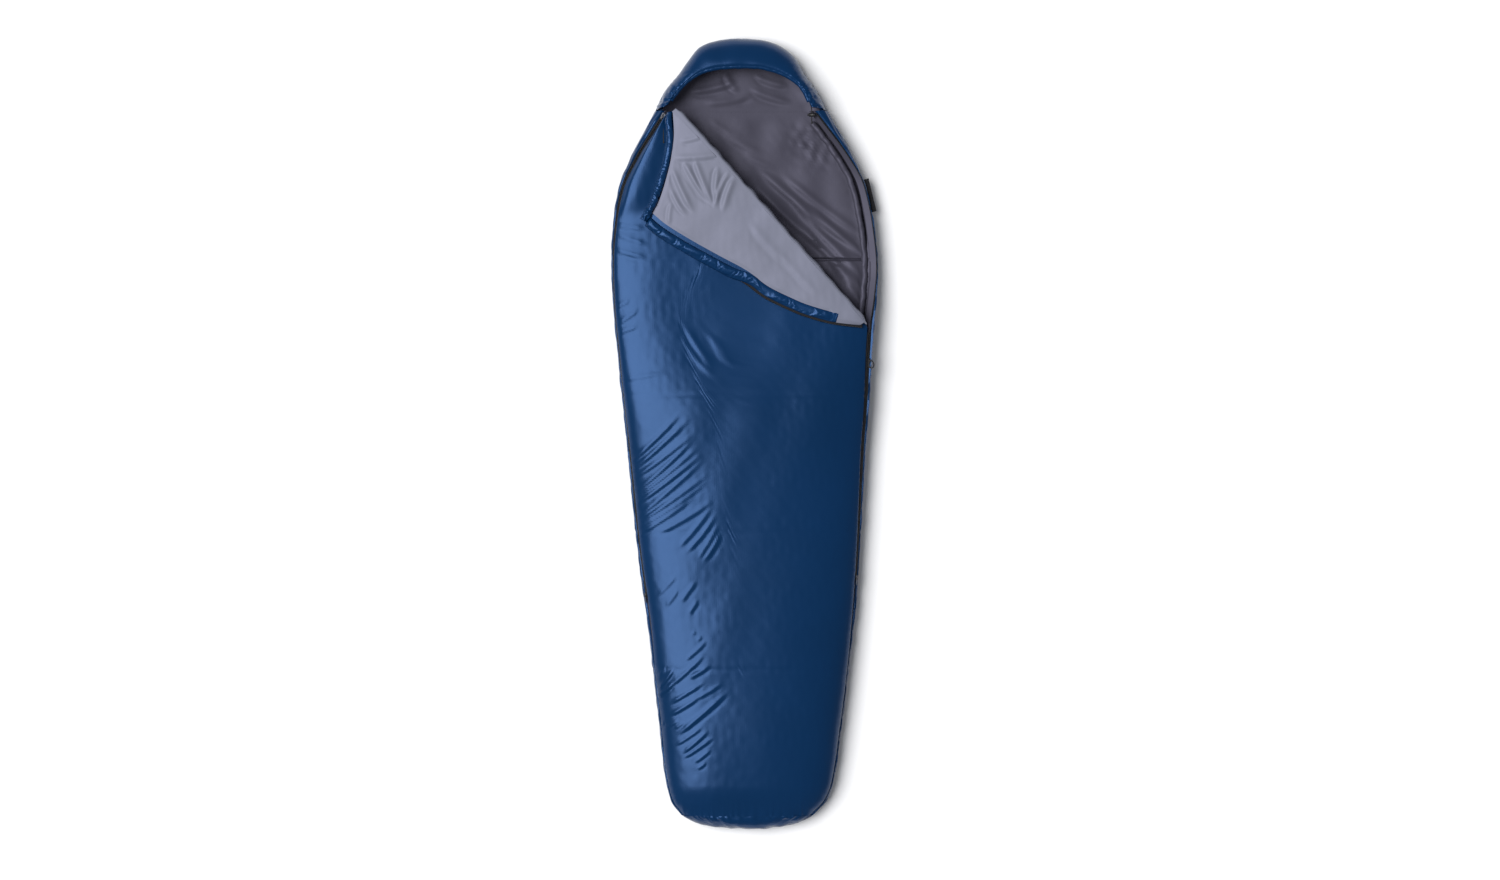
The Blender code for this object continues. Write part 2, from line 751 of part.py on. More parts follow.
def add_slider(name, side, from_foot, pull_length):
    """A slider, its bridge, and the pull that swings on it about a crosswise line."""
    matrix = slider_matrix(side, from_foot)
    slide_axis = axis_empty(f"{name}_slide", matrix)
    corners = [(x, -SLIDER_LENGTH / 2, z) for x, z in slider_outline()]
    step = (0, SLIDER_LENGTH, 0)
    drawn_out(f"{name}_body", "dark_metal", corners, step, matrix, slide_axis)
    foot = SLIDER_HEIGHT / 2 + GAP
    arch = []
    for i in range(9):
        turn = math.pi * i / 8
        rise = foot + mix(BRIDGE_RADIUS, BRIDGE_HEIGHT, math.sin(turn) ** 0.6)
        arch.append(matrix @ Vector((0.0, -BRIDGE_REACH * math.cos(turn), rise)))
    tube(f"{name}_bridge", "dark_metal", arch, BRIDGE_RADIUS, slide_axis, sides=1)
    pivot = Matrix.Translation((0.0, 0.0, foot + 0.0003 + PULL_THICK / 2))
    pull_axis = axis_empty(f"{name}_pull_hinge", matrix @ pivot)
    hang_on(pull_axis, slide_axis)
    add_pull(f"{name}_pull", pull_axis, pull_length)
    return slide_axis, pull_axis


def build_zips(flap_axis):
    chain_top = LEFT_TOP_SLIDER + SLIDER_LENGTH / 2
    opened = FOLD_END.y - CHANNEL
    add_chain("left_zip_front", "left", 1, LEFT_ZIP_BOTTOM, chain_top, 24)
    add_chain("left_zip_back", "left", -1, LEFT_ZIP_BOTTOM, chain_top, 24)
    add_chain("right_zip_front", "right", 1, RIGHT_ZIP_BOTTOM, opened, 14)
    add_chain("right_zip_back", "right", -1, RIGHT_ZIP_BOTTOM, chain_top, 24)
    add_flap_chain(flap_axis)
    for side, bottom in ZIP_BOTTOM.items():
        stations = zip_stations(bottom, chain_top - 0.02, 15)
        middle = [seam_point(side, v, -0.004, DRAFT_TUBE_DEPTH) for v in stations]
        tube(f"{side}_draft_tube", "grey_lining", middle, DRAFT_TUBE_RADIUS)
    lead = SLIDER_LENGTH / 2 + 0.002
    _, top_pull = add_slider("left_top_slider", "left", LEFT_TOP_SLIDER, TOP_PULL)
    add_slider("left_bottom_slider", "left", LEFT_ZIP_BOTTOM + lead, BOTTOM_PULL)
    _, loop_pull = add_slider("right_top_slider", "right", RIGHT_TOP_SLIDER, TOP_PULL)
    add_slider("right_bottom_slider", "right", RIGHT_ZIP_BOTTOM + lead, BOTTOM_PULL)
    add_pull_cord(top_pull)
    add_pull_loop(loop_pull)


# Cords, hems and trims


def smooth_route(corners, count):
    """Evenly shared points on a smooth space curve through the corners."""
    lengths = [0.0]
    for a, b in zip(corners, corners[1:]):
        lengths.append(lengths[-1] + (b - a).length)
    shares = [length / lengths[-1] for length in lengths]
    axes = [through(list(zip(shares, [c[i] for c in corners]))) for i in range(3)]
    return [Vector(axis(i / (count - 1)) for axis in axes) for i in range(count)]


def add_pull_cord(axis):
    """The thin cord that hangs from the left top pull and lies down the front."""
    route = []
    for across, station in PULL_CORD_ROUTE:
        height = crown_height(across, station) + PULL_CORD_RADIUS + 0.0012
        route.append(world(across, station, height))
    middle = smooth_route(route, 18)
    tube("left_top_pull_cord", "black_cord", middle, PULL_CORD_RADIUS, axis, sides=1)


def add_pull_loop(axis):
    """The doubled cord on the right top pull, curling over the side of the bag."""
    route = [axis.matrix_world @ Vector(corner) for corner in PULL_LOOP_ROUTE]
    middle = smooth_route(route, 26)
    tube("right_top_pull_loop", "black_cord", middle, PULL_CORD_RADIUS, axis, sides=1)


def add_hood_cord():
    count = 27
    middle = []
    for i in range(count):
        share = mix(0.03, 0.965, i / (count - 1))
        outer, inner = hood_outline(share), hood_opening(share)
        place = inner + (inner - outer).normalized() * TUNNEL_INSET
        height = SIDE_HEIGHT + visor_height(share) - TUNNEL_RADIUS
        middle.append(world(place.x, place.y, height))
    tube("hood_drawcord_tunnel", "blue_nylon", middle, TUNNEL_RADIUS, sides=1, hollow=TUNNEL_WALL)
    lock = world(*LOCK_PLACE)
    tail = [
        lock + Vector((0.0, 0.012, 0.001)),
        lock,
        lock - Vector((0.0, 0.012, 0.001)),
        lock - Vector((-0.001, 0.021, 0.004)),
    ]
    start = middle[1:-1]
    link = smooth_route([start[-1], mix(start[-1], tail[0], 0.5), tail[0]], 5)[1:-1]
    tube("hood_drawcord", "black_cord", start + link + tail, CORD_RADIUS, sides=1)


def add_cord_lock():
    """A barrel with a spring button, the cord passing through both."""
    barrel = Matrix.Translation(world(*LOCK_PLACE) + Vector((0.0015, 0.0, 0.0)))
    lengthwise = Matrix.Rotation(math.pi / 2, 4, "Y")
    size = (LOCK_LENGTH, LOCK_SIZE, LOCK_SIZE)
    body = box("cord_lock_body", "black_plastic", size, barrel, 0.0018)
    bore_end = LOCK_LENGTH / 2 - END_WALL
    bore_length = LOCK_LENGTH - END_WALL + BORE_OVERRUN
    bore = barrel @ Matrix.Translation((bore_end - bore_length / 2, 0, 0)) @ lengthwise
    cut_with(body, "cord_lock_bore_cutter", bore, radius=BORE_RADIUS, depth=bore_length)
    sideways = Matrix.Rotation(math.pi / 2, 4, "X")
    through_cord = Matrix.Translation(world(*LOCK_PLACE)) @ sideways
    cut_with(body, "cord_lock_hole_cutter", through_cord, radius=CORD_HOLE, depth=CUT_THROUGH)

    plunger_axis = axis_empty("cord_lock_button_slide", barrel)
    plunger_end = bore_end - SPRING_SPACE
    plunger_length = plunger_end + LOCK_LENGTH / 2 + BUTTON_PROUD
    middle = barrel @ Matrix.Translation((plunger_end - plunger_length / 2, 0, 0))
    data = bpy.data.meshes.new("cord_lock_button")
    shape = bmesh.new()
    bmesh.ops.create_cone(
        shape,
        cap_ends=True,
        segments=16,
        radius1=PLUNGER_RADIUS,
        radius2=PLUNGER_RADIUS,
        depth=plunger_length,
    )
    shape.to_mesh(data)
    shape.free()
    button = add_part("cord_lock_button", data, "black_plastic")
    button.matrix_world = middle @ lengthwise
    hang_on(button, plunger_axis)
    slot_length = 2 * CORD_HOLE + PLUNGER_TRAVEL
    slot_middle = Matrix.Translation(
        world(*LOCK_PLACE) - Vector((PLUNGER_TRAVEL / 2, 0, 0))
    )
    slot = (slot_length, CUT_THROUGH, 2 * CORD_HOLE)
    cut_with(button, "cord_lock_button_slot_cutter", slot_middle, size=slot)

    turns, steps = 4, 8
    start, end = plunger_end + 2 * SPRING_WIRE, bore_end - 2 * SPRING_WIRE
    coil = []
    for i in range(turns * steps + 1):
        angle = 2 * math.pi * i / steps
        x = mix(start, end, i / (turns * steps))
        y, z = SPRING_RADIUS * math.cos(angle), SPRING_RADIUS * math.sin(angle)
        coil.append(barrel @ Vector((x, y, z)))
    tube("cord_lock_spring", "spring_steel", coil, SPRING_WIRE, sides=0)


def add_neck_hem(parent):
    """The soft roll that hems the neck edge of the folded flap."""
    count = 14
    middle = []
    for i in range(count):
        share = mix(0.02, 0.96, i / (count - 1))
        here = flap_neck_edge(share)
        ahead = flap_neck_edge(share + 0.02) - flap_neck_edge(share - 0.02)
        outward = Vector((ahead.y, -ahead.x)).normalized()
        place = here + outward * (NECK_HEM_RADIUS + 0.0012)
        height = crown_height(place.x, place.y) + FLAP_LIFT + NECK_HEM_RADIUS
        middle.append(world(place.x, place.y, height))
    tube("flap_neck_hem", "blue_nylon", middle, NECK_HEM_RADIUS, parent)


def add_hang_tab():
    def edge(from_foot):
        return Vector((centre_line(from_foot) + half_width(from_foot), from_foot))

    ahead = (edge(HANG_TAB_STATION + 0.03) - edge(HANG_TAB_STATION - 0.03)).normalized()
    outward = Vector((ahead.y, -ahead.x))
    place = edge(HANG_TAB_STATION) + outward * (HANG_TAB[0] / 2 + 0.0022)
    turn = math.atan2(-ahead.x, ahead.y)
    matrix = Matrix.Translation(world(place.x, place.y, SIDE_HEIGHT + 0.004))
    matrix = matrix @ Matrix.Rotation(turn, 4, "Z")
    box("hang_tab", "black_webbing", HANG_TAB, matrix, 0.0)


PARTS = bpy.data.collections.new("mummy_sleeping_bag")
CUTTERS = bpy.data.collections.new("cutters")


def main():
    for left_over in list(bpy.data.objects):
        bpy.data.objects.remove(left_over, do_unlink=True)
    bpy.context.scene.collection.children.link(PARTS)
    bpy.context.scene.collection.children.link(CUTTERS)
    fold_middle = mix(FOLD_START, FOLD_END, 0.5)
    fold_place = Matrix.Translation(world(fold_middle.x, fold_middle.y, FOLD_HEIGHT))
    flap_axis = axis_empty("flap_fold_axis", fold_place)
    build_quilts(flap_axis)
    build_zips(flap_axis)
    add_neck_hem(flap_axis)
    add_hood_cord()
    add_cord_lock()
    add_hang_tab()


main()
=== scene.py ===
"""The looks of an adult mummy sleeping bag, lying open on a pale floor.

Metres, +Z up, +Y towards the hood, X across. The bag's outline, sections and seams repeat the
part's own tables, so each quilt, lining, tape and coil lies where its plain solid lies.
"""

import functools
import json
import math

import bmesh
import bpy
import numpy as np
from mathutils import Matrix, Vector

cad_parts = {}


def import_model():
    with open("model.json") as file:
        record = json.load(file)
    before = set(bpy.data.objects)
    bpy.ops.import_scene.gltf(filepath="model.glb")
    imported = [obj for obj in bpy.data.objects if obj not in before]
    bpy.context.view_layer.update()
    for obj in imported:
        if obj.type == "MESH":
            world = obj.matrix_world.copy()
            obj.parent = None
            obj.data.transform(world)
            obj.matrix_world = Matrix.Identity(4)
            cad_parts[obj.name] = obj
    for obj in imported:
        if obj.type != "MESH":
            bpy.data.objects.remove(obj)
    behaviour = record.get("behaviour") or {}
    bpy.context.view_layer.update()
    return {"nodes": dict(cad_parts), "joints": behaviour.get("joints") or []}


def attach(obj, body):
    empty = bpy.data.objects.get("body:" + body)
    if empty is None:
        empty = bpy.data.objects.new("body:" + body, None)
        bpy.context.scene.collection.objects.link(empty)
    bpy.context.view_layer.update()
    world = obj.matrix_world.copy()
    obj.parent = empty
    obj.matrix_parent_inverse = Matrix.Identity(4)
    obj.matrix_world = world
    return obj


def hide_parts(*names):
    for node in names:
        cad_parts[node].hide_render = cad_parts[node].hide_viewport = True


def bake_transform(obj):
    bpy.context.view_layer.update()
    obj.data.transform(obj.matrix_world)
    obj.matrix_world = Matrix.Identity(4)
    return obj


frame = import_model()

# The part's own sizes
LENGTH = 2.10
SIDE_HEIGHT = 0.032  # of the bag's widest line above the floor
CORNER = 0.055  # radius between the underside and the sides
CLOTH = 0.0012
BACK_PAD = 0.0184  # shell and wadding together, up to the lining
FRONT_PAD = 0.0214
FLAP_WADDING = 0.017
HOOD_PAD = 0.0154
FOOT_PAD = 0.0144
FOOT_CROWDING = 1.35  # how much closer the stations lie towards the foot
FOOT_SEAM = 0.037
NECK_SEAM = 1.905
ZIP_BOTTOM = {"left": 0.613, "right": 0.660}
ZIP_TOP = 1.898
RIGHT_ZIP_OPENS = 1.3185
CHANNEL = 0.0070  # from the middle of a zip to each quilt's edge
CLOSED_SEAM = 0.003  # the same below the zips, where the edges are sewn together
COIL_RADIUS = 0.00125
COIL_OFFSET = 0.0020
COIL_DEPTH = 0.0025
TAPE_INNER = 0.0030
TAPE_OUTER = 0.0085
PULL_HEIGHT = 0.0039  # from the middle of a slider to its pull's hinge
FOLD_START = Vector((-0.183, 1.909))
FOLD_END = Vector((0.329, 1.330))
FLAP_LIFT = 0.003
FOLD_REACH = 0.975  # the share of the fold that the folded corner runs along
LOCK_PLACE = Vector((0.1765, 1.894, 0.0765))

# (distance from the foot, value) along the bag: half its width, where its middle lies, the
# crown's height above the widest line, how square the crown is, and how far up the crown from
# the widest line each zip runs
HALF_WIDTH = [
    (0.037, 0.175), (0.077, 0.207), (0.130, 0.223), (0.290, 0.244), (0.500, 0.269),
    (0.710, 0.293), (1.030, 0.321), (1.245, 0.340), (1.400, 0.352), (1.500, 0.354),
    (1.600, 0.347), (1.700, 0.330), (1.776, 0.299), (1.880, 0.243), (1.905, 0.229),
]
CENTRE_LINE = [
    (0.037, 0.006), (0.130, 0.013), (0.500, 0.016), (0.820, 0.009), (1.245, 0.004),
    (1.480, 0.000), (1.700, -0.006), (1.905, -0.010),
]
CROWN = [
    (0.037, 0.052), (0.120, 0.074), (0.300, 0.083), (1.050, 0.083), (1.280, 0.064),
    (1.450, 0.058), (1.905, 0.056),
]
FLATNESS = [(0.037, 2.6), (1.000, 2.7), (1.400, 4.4), (1.905, 4.4)]
LEFT_SEAM = [
    (0.037, 0.020), (0.613, 0.027), (1.000, 0.023), (1.400, 0.023), (1.660, 0.034),
    (1.800, 0.048), (1.905, 0.062),
]
RIGHT_SEAM = [
    (0.037, 0.020), (0.660, 0.026), (1.000, 0.038), (1.330, 0.050), (1.420, 0.038),
    (1.500, 0.027), (1.720, 0.032), (1.800, 0.046), (1.905, 0.070),
]

# Plan outlines, (crosswise, from the foot), left to right
HOOD_OUTLINE = [
    (-0.238, 1.908), (-0.215, 1.957), (-0.178, 2.002), (-0.154, 2.036), (-0.116, 2.079),
    (-0.058, 2.097), (-0.008, 2.100), (0.040, 2.096), (0.085, 2.084), (0.129, 2.052),
    (0.162, 2.000), (0.190, 1.960), (0.217, 1.908),
]
HOOD_OPENING = [
    (-0.203, 1.920), (-0.180, 1.952), (-0.149, 1.984), (-0.112, 2.006), (-0.066, 2.017),
    (-0.010, 2.020), (0.034, 2.019), (0.066, 2.012), (0.106, 1.998), (0.140, 1.975),
    (0.158, 1.952), (0.168, 1.930), (0.176, 1.914),
]
FLAP_NECK_EDGE = [
    (-0.191, 1.902), (-0.1885, 1.845), (-0.1965, 1.779), (-0.2124, 1.715), (-0.231, 1.660),
    (-0.262, 1.604),
]
FLAP_ZIP_EDGE = [
    (-0.262, 1.594), (-0.230, 1.569), (-0.167, 1.532), (-0.080, 1.486), (-0.005, 1.447),
    (0.048, 1.408), (0.104, 1.380), (0.157, 1.358), (0.239, 1.3365), (0.319, 1.3275),
]

# Sizes of the soft finish
GAP = 0.0004  # between a wadding and its lining
SEAM_ROUND = 0.0032  # radius of a quilt's edge where it is sewn in
RIGHT_TUCK = 0.0065  # how far the back draws in under the right zip
FOLD_LIP = 0.013  # how far the lining's fold lies over the flap
WALL_TOP = 0.0046  # how close under the shell the lining is sewn to the zips
FACING_WIDTH = 0.026
FACING_REACH = 0.90  # the share of the flap that the facing runs along
HEM_RADIUS = 0.0098
DRAFT_RADIUS = 0.0082
TUNNEL_RADIUS = 0.0062
CLOTH_PRESSURE = 4.0
CLOTH_FRAMES = 20

# Creases in the front, (crosswise, from the foot) at each end: the long drag lines below the
# zip's middle, the group near the foot, each with its strength, a few small ones between,
# those under the folded corner, and the short ones beside the left zip
SIDE_DRAGS = [
    (-0.289, 0.985, -0.175, 1.096), (-0.287, 0.961, -0.154, 1.081),
    (-0.284, 0.937, -0.141, 1.043), (-0.279, 0.903, -0.141, 1.03),
    (-0.279, 0.887, -0.13, 1.006), (-0.279, 0.868, -0.125, 0.985),
    (-0.276, 0.834, -0.119, 0.972), (-0.273, 0.818, -0.109, 0.932),
    (-0.279, 0.802, -0.109, 0.916), (-0.271, 0.789, -0.135, 0.881),
    (-0.223, 0.789, -0.09, 0.868), (-0.17, 0.754, -0.09, 0.852),
    (-0.149, 0.741, -0.08, 0.828), (-0.119, 0.725, -0.072, 0.804),
    (-0.106, 0.717, -0.066, 0.786),
]
FOOT_DRAGS = [
    (-0.234, 0.351, -0.19, 0.389, 1.1), (-0.194, 0.385, -0.112, 0.459, 1.2),
    (-0.226, 0.375, -0.188, 0.427, 0.9), (-0.228, 0.407, -0.21, 0.431, 0.6),
    (-0.144, 0.405, -0.094, 0.435, 1.1), (-0.192, 0.339, -0.112, 0.389, 1.1),
    (-0.194, 0.307, -0.124, 0.351, 1.1), (-0.124, 0.351, -0.064, 0.387, 0.8),
    (-0.168, 0.261, -0.052, 0.361, 1.6), (-0.18, 0.227, -0.116, 0.271, 0.9),
    (-0.16, 0.208, -0.102, 0.259, 1.0), (-0.156, 0.196, -0.088, 0.243, 1.0),
    (-0.13, 0.182, -0.092, 0.212, 0.8), (-0.124, 0.164, -0.104, 0.18, 0.6),
    (-0.154, 0.453, -0.104, 0.499, 0.9), (-0.126, 0.503, -0.114, 0.512, 0.6),
    (-0.14, 0.518, -0.13, 0.527, 0.5), (-0.226, 0.271, -0.215, 0.285, 0.5),
    (-0.204, 0.275, -0.176, 0.291, 0.5), (-0.184, 0.271, -0.16, 0.287, 0.6),
]
SMALL_CREASES = [
    (-0.228, 0.624, -0.183, 0.672), (-0.167, 0.608, -0.13, 0.658),
    (-0.207, 0.595, -0.178, 0.635), (-0.146, 0.576, -0.125, 0.608),
]
CORNER_CREASES = [
    (-0.154, 1.325, -0.09, 1.227), (-0.149, 1.272, -0.09, 1.211),
    (-0.09, 1.309, -0.045, 1.232),
]
ZIP_CREASES = [
    (-0.337, 1.601, -0.265, 1.59), (-0.332, 1.574, -0.26, 1.548),
    (-0.342, 1.537, -0.265, 1.513), (-0.337, 1.386, -0.305, 1.402),
    (-0.332, 1.343, -0.284, 1.375), (-0.332, 1.317, -0.284, 1.333),
    (-0.321, 1.192, -0.223, 1.208),
]

# Folds in the linings: both ends, width and height
HOOD_LINING_FOLDS = [
    ((-0.140, 1.960), (-0.030, 1.985), 0.0100, 0.0030),
    ((-0.100, 1.925), (0.010, 1.950), 0.0120, 0.0030),
    ((0.020, 1.965), (0.120, 1.930), 0.0100, 0.0028),
    ((0.030, 2.000), (0.110, 1.975), 0.0090, 0.0026),
    ((-0.050, 2.005), (-0.020, 1.960), 0.0090, 0.0024),
]
BACK_LINING_FOLDS = [
    ((0.050, 1.742), (0.280, 1.552), 0.0100, 0.0080),
    ((0.036, 1.700), (0.230, 1.520), 0.0090, 0.0066),
    ((0.110, 1.730), (0.300, 1.585), 0.0080, 0.0052),
    ((0.130, 1.665), (0.300, 1.480), 0.0090, 0.0074),
    ((0.170, 1.660), (0.310, 1.530), 0.0070, 0.0048),
    ((0.150, 1.610), (0.290, 1.440), 0.0070, 0.0054),
    ((0.230, 1.520), (0.325, 1.372), 0.0065, 0.0046),
    ((0.200, 1.560), (0.315, 1.430), 0.0060, 0.0036),
    ((-0.060, 1.850), (0.050, 1.790), 0.0100, 0.0026),
    ((-0.090, 1.880), (-0.010, 1.838), 0.0080, 0.0022),
    ((0.000, 1.795), (0.080, 1.755), 0.0090, 0.0025),
]
FLAP_LINING_FOLDS = [
    ((-0.188, 1.742), (-0.140, 1.640), 0.0085, 0.0050),
    ((-0.160, 1.765), (-0.096, 1.664), 0.0085, 0.0052),
    ((-0.132, 1.770), (-0.082, 1.655), 0.0080, 0.0044),
    ((-0.072, 1.748), (-0.076, 1.660), 0.0080, 0.0044),
    ((-0.030, 1.722), (-0.058, 1.640), 0.0090, 0.0046),
    ((-0.046, 1.735), (-0.080, 1.650), 0.0065, 0.0030),
    ((-0.194, 1.690), (-0.158, 1.628), 0.0060, 0.0026),
    ((-0.182, 1.778), (-0.062, 1.788), 0.0090, 0.0034),
    ((-0.168, 1.822), (-0.110, 1.838), 0.0070, 0.0024),
    ((-0.195, 1.655), (-0.200, 1.600), 0.0060, 0.0024),
    ((0.020, 1.600), (0.110, 1.500), 0.0120, 0.0016),
    ((0.100, 1.520), (0.190, 1.420), 0.0110, 0.0014),
]

# Where lines of stitching hold the filling in place, from the foot
QUILT_LINES = [0.426, 0.788, 1.151, 1.513]


# Curves and sections


def through(points):
    """A smooth function through (place, value) points, which never overshoots them."""
    places = np.array([place for place, _ in points])
    values = np.array([value for _, value in points])
    steps = np.diff(places)
    slopes = np.diff(values) / steps
    product = slopes[:-1] * slopes[1:]
    mean = 2 * product / np.where(product > 0, slopes[:-1] + slopes[1:], 1.0)
    bends = np.concatenate([slopes[:1], np.where(product > 0, mean, 0.0), slopes[-1:]])

    def value_at(place):
        place = np.clip(place, places[0], places[-1])
        i = np.clip(np.searchsorted(places, place, side="right"), 1, len(places) - 1) - 1
        s = (place - places[i]) / steps[i]
        return (
            (1 + 2 * s) * (1 - s) ** 2 * values[i]
            + s * (1 - s) ** 2 * steps[i] * bends[i]
            + s * s * (3 - 2 * s) * values[i + 1]
            + s * s * (s - 1) * steps[i] * bends[i + 1]
        )

    return value_at


def path_through(points):
    """A smooth curve through plan points, or points in space, by the share of its length."""
    points = np.array(points, float)
    lengths = np.concatenate([[0.0], np.cumsum(np.linalg.norm(np.diff(points, axis=0), axis=1))])
    shares = lengths / lengths[-1]
    axes = [through(list(zip(shares, column))) for column in points.T]
    return lambda share: np.stack([axis(share) for axis in axes], axis=-1)


half_width = through(HALF_WIDTH)
centre_line = through(CENTRE_LINE)
crown = through(CROWN)
flatness = through(FLATNESS)
hood_outline = path_through(HOOD_OUTLINE)
hood_opening = path_through(HOOD_OPENING)
flap_neck_edge = path_through(FLAP_NECK_EDGE)
flap_zip_edge = path_through(FLAP_ZIP_EDGE)
SEAM_ARC = {"left": through(LEFT_SEAM), "right": through(RIGHT_SEAM)}


def world(across, from_foot, height):
    across, from_foot, height = np.broadcast_arrays(across, from_foot, height)
    return np.stack([across, from_foot - LENGTH / 2, height], axis=-1).astype(float)


def mix(a, b, share):
    return a + (b - a) * share


def ease(share):
    """Runs smoothly from 0 to 1 as the share does, and stays there outside it."""
    share = np.clip(share, 0.0, 1.0)
    return share * share * (3 - 2 * share)


def unit(vectors):
    return vectors / np.maximum(np.linalg.norm(vectors, axis=-1, keepdims=True), 1e-12)


def crown_point(from_foot, angle, depth):
    """A point on the crown, depth inside its outer face; angle 0 is the right widest line."""
    bend = 2 / flatness(from_foot)
    wide = half_width(from_foot) - depth
    tall = crown(from_foot) - depth
    across = np.sign(np.cos(angle)) * np.abs(np.cos(angle)) ** bend
    rise = np.abs(np.sin(angle)) ** bend
    return world(centre_line(from_foot) + wide * across, from_foot, SIDE_HEIGHT + tall * rise)


@functools.lru_cache(maxsize=None)
def section_arcs(from_foot):
    """Section angles from the widest line to the top, and how far up the crown each lies."""
    angles = np.linspace(0, 1, 241) ** 2 * math.pi / 2
    points = crown_point(from_foot, angles, 0.0)
    steps = np.linalg.norm(np.diff(points, axis=0), axis=1)
    return angles, np.concatenate([[0.0], np.cumsum(steps)])


def angle_up(from_foot, arc):
    stations, arcs = np.broadcast_arrays(np.round(from_foot, 4), arc)
    angles = [
        np.interp(a, *reversed(section_arcs(float(v)))) for v, a in zip(stations.flat, arcs.flat)
    ]
    return np.array(angles).reshape(stations.shape)


def seam_point(side, from_foot, arc_offset, depth):
    """A point at the side seam, arc_offset further up the crown, depth under its face."""
    angle = angle_up(from_foot, SEAM_ARC[side](from_foot) + arc_offset)
    return crown_point(from_foot, angle if side == "right" else math.pi - angle, depth)


def seam_gap(side, from_foot):
    below = (ZIP_BOTTOM[side] - 0.10 - from_foot) / 0.10
    return mix(CHANNEL, CLOSED_SEAM, np.clip(below, 0.0, 1.0))


STATIONS = np.linspace(FOOT_SEAM, NECK_SEAM, 360)
EDGE_ANGLES = {
    (side, turn): angle_up(STATIONS, SEAM_ARC[side](STATIONS) + turn * seam_gap(side, STATIONS))
    for side in ("left", "right")
    for turn in (-1, 1)
}


def edge_angle(side, from_foot, turn):
    return np.interp(from_foot, STATIONS, EDGE_ANGLES[side, turn])


def crown_height(across, from_foot):
    share = np.abs(across - centre_line(from_foot)) / half_width(from_foot)
    power = flatness(from_foot)
    return SIDE_HEIGHT + crown(from_foot) * np.clip(1 - share**power, 0, None) ** (1 / power)


# The faces of the quilts, as functions of two shares and a depth


def back_face(across, along, depth):
    """The back from its left zip edge round the underside to its right zip edge."""
    from_foot = mix(FOOT_SEAM, NECK_SEAM, along**FOOT_CROWDING)
    wide = half_width(from_foot)
    middle = centre_line(from_foot)
    sign = np.where(across < 0.5, -1.0, 1.0)
    share = np.abs(2 * across - 1)
    flat_share, corner_share = 0.4, 0.7
    turn = np.clip((share - flat_share) / (corner_share - flat_share), 0, 1) * math.pi / 2
    flat_x = (wide - CORNER) * share / flat_share
    corner_x = wide - CORNER + (CORNER - depth) * np.sin(turn)
    low = world(
        middle + sign * np.where(share <= flat_share, flat_x, corner_x),
        from_foot,
        np.where(
            share <= flat_share, depth, SIDE_HEIGHT - (SIDE_HEIGHT - depth) * np.cos(turn)
        ),
    )
    rise = np.clip((share - corner_share) / (1 - corner_share), 0, 1) ** 1.6
    right = edge_angle("right", from_foot, -1) * rise
    left = math.pi - edge_angle("left", from_foot, -1) * rise
    high = crown_point(from_foot, np.where(across < 0.5, left, right), depth)
    return np.where((share <= corner_share)[..., None], low, high)


def front_angle(across, from_foot):
    left = math.pi - edge_angle("left", from_foot, 1)
    return mix(left, edge_angle("right", from_foot, 1), across)


def front_limit(across):
    """The front's top edge over a crosswise place: the neck edge, then the fold line."""
    share = (across - FOLD_START.x) / (FOLD_END.x - FOLD_START.x)
    neck = FOLD_START.y + 0.45 * (across - FOLD_START.x)
    return np.where(share < 0, neck, mix(FOLD_START.y, FOLD_END.y, share))


def front_top(across, depth):
    low = np.full_like(across, 1.20)
    high = np.full_like(across, NECK_SEAM)
    for _ in range(30):
        middle = (low + high) / 2
        x = crown_point(middle, front_angle(across, middle), depth)[..., 0]
        under = front_limit(x) > middle
        low, high = np.where(under, middle, low), np.where(under, high, middle)
    return low


def front_face(across, along, depth):
    top = front_top(across[0], depth)[None, :]
    from_foot = mix(FOOT_SEAM, top, along**FOOT_CROWDING)
    return crown_point(from_foot, front_angle(across, from_foot), depth)


def foot_face(across, along, depth):
    """The footbox cap, a domed end inside the outline of the last section."""
    a, b = 2 * across - 1, 2 * along - 1
    reach = np.maximum(np.abs(a), np.abs(b))
    angle = np.arctan2(b, a)
    middle = world(centre_line(FOOT_SEAM), FOOT_SEAM, SIDE_HEIGHT)
    rim = crown_point(FOOT_SEAM, np.abs(angle), depth)
    fall = np.abs(np.sin(angle)) ** 0.4
    spread = np.sign(np.cos(angle)) * np.abs(np.cos(angle)) ** 0.4
    under_x = middle[0] + (half_width(FOOT_SEAM) - depth) * spread
    under = world(under_x, FOOT_SEAM, SIDE_HEIGHT - (SIDE_HEIGHT - depth) * fall)
    rim = np.where((angle < 0)[..., None], under, rim)
    share = np.sin(reach * math.pi / 2)[..., None]
    point = mix(middle, rim, share)
    share = share[..., 0]
    domed = (1 - share**2.4) ** (1 / 2.4)
    tapered = 1 - share**3.2
    bulge = (FOOT_SEAM - depth) * mix(domed, tapered, ease(np.abs(np.cos(angle)) / 0.8))
    point[..., 1] -= bulge
    return point


@functools.lru_cache(maxsize=None)
def hood_ring(depth):
    """The hood's plan outline, set in by depth."""
    share = np.linspace(0, 1, 161)
    ahead = hood_outline(np.minimum(share + 0.01, 1)) - hood_outline(np.maximum(share - 0.01, 0))
    ahead = unit(ahead)
    return hood_outline(share) + np.stack([ahead[:, 1], -ahead[:, 0]], axis=1) * depth


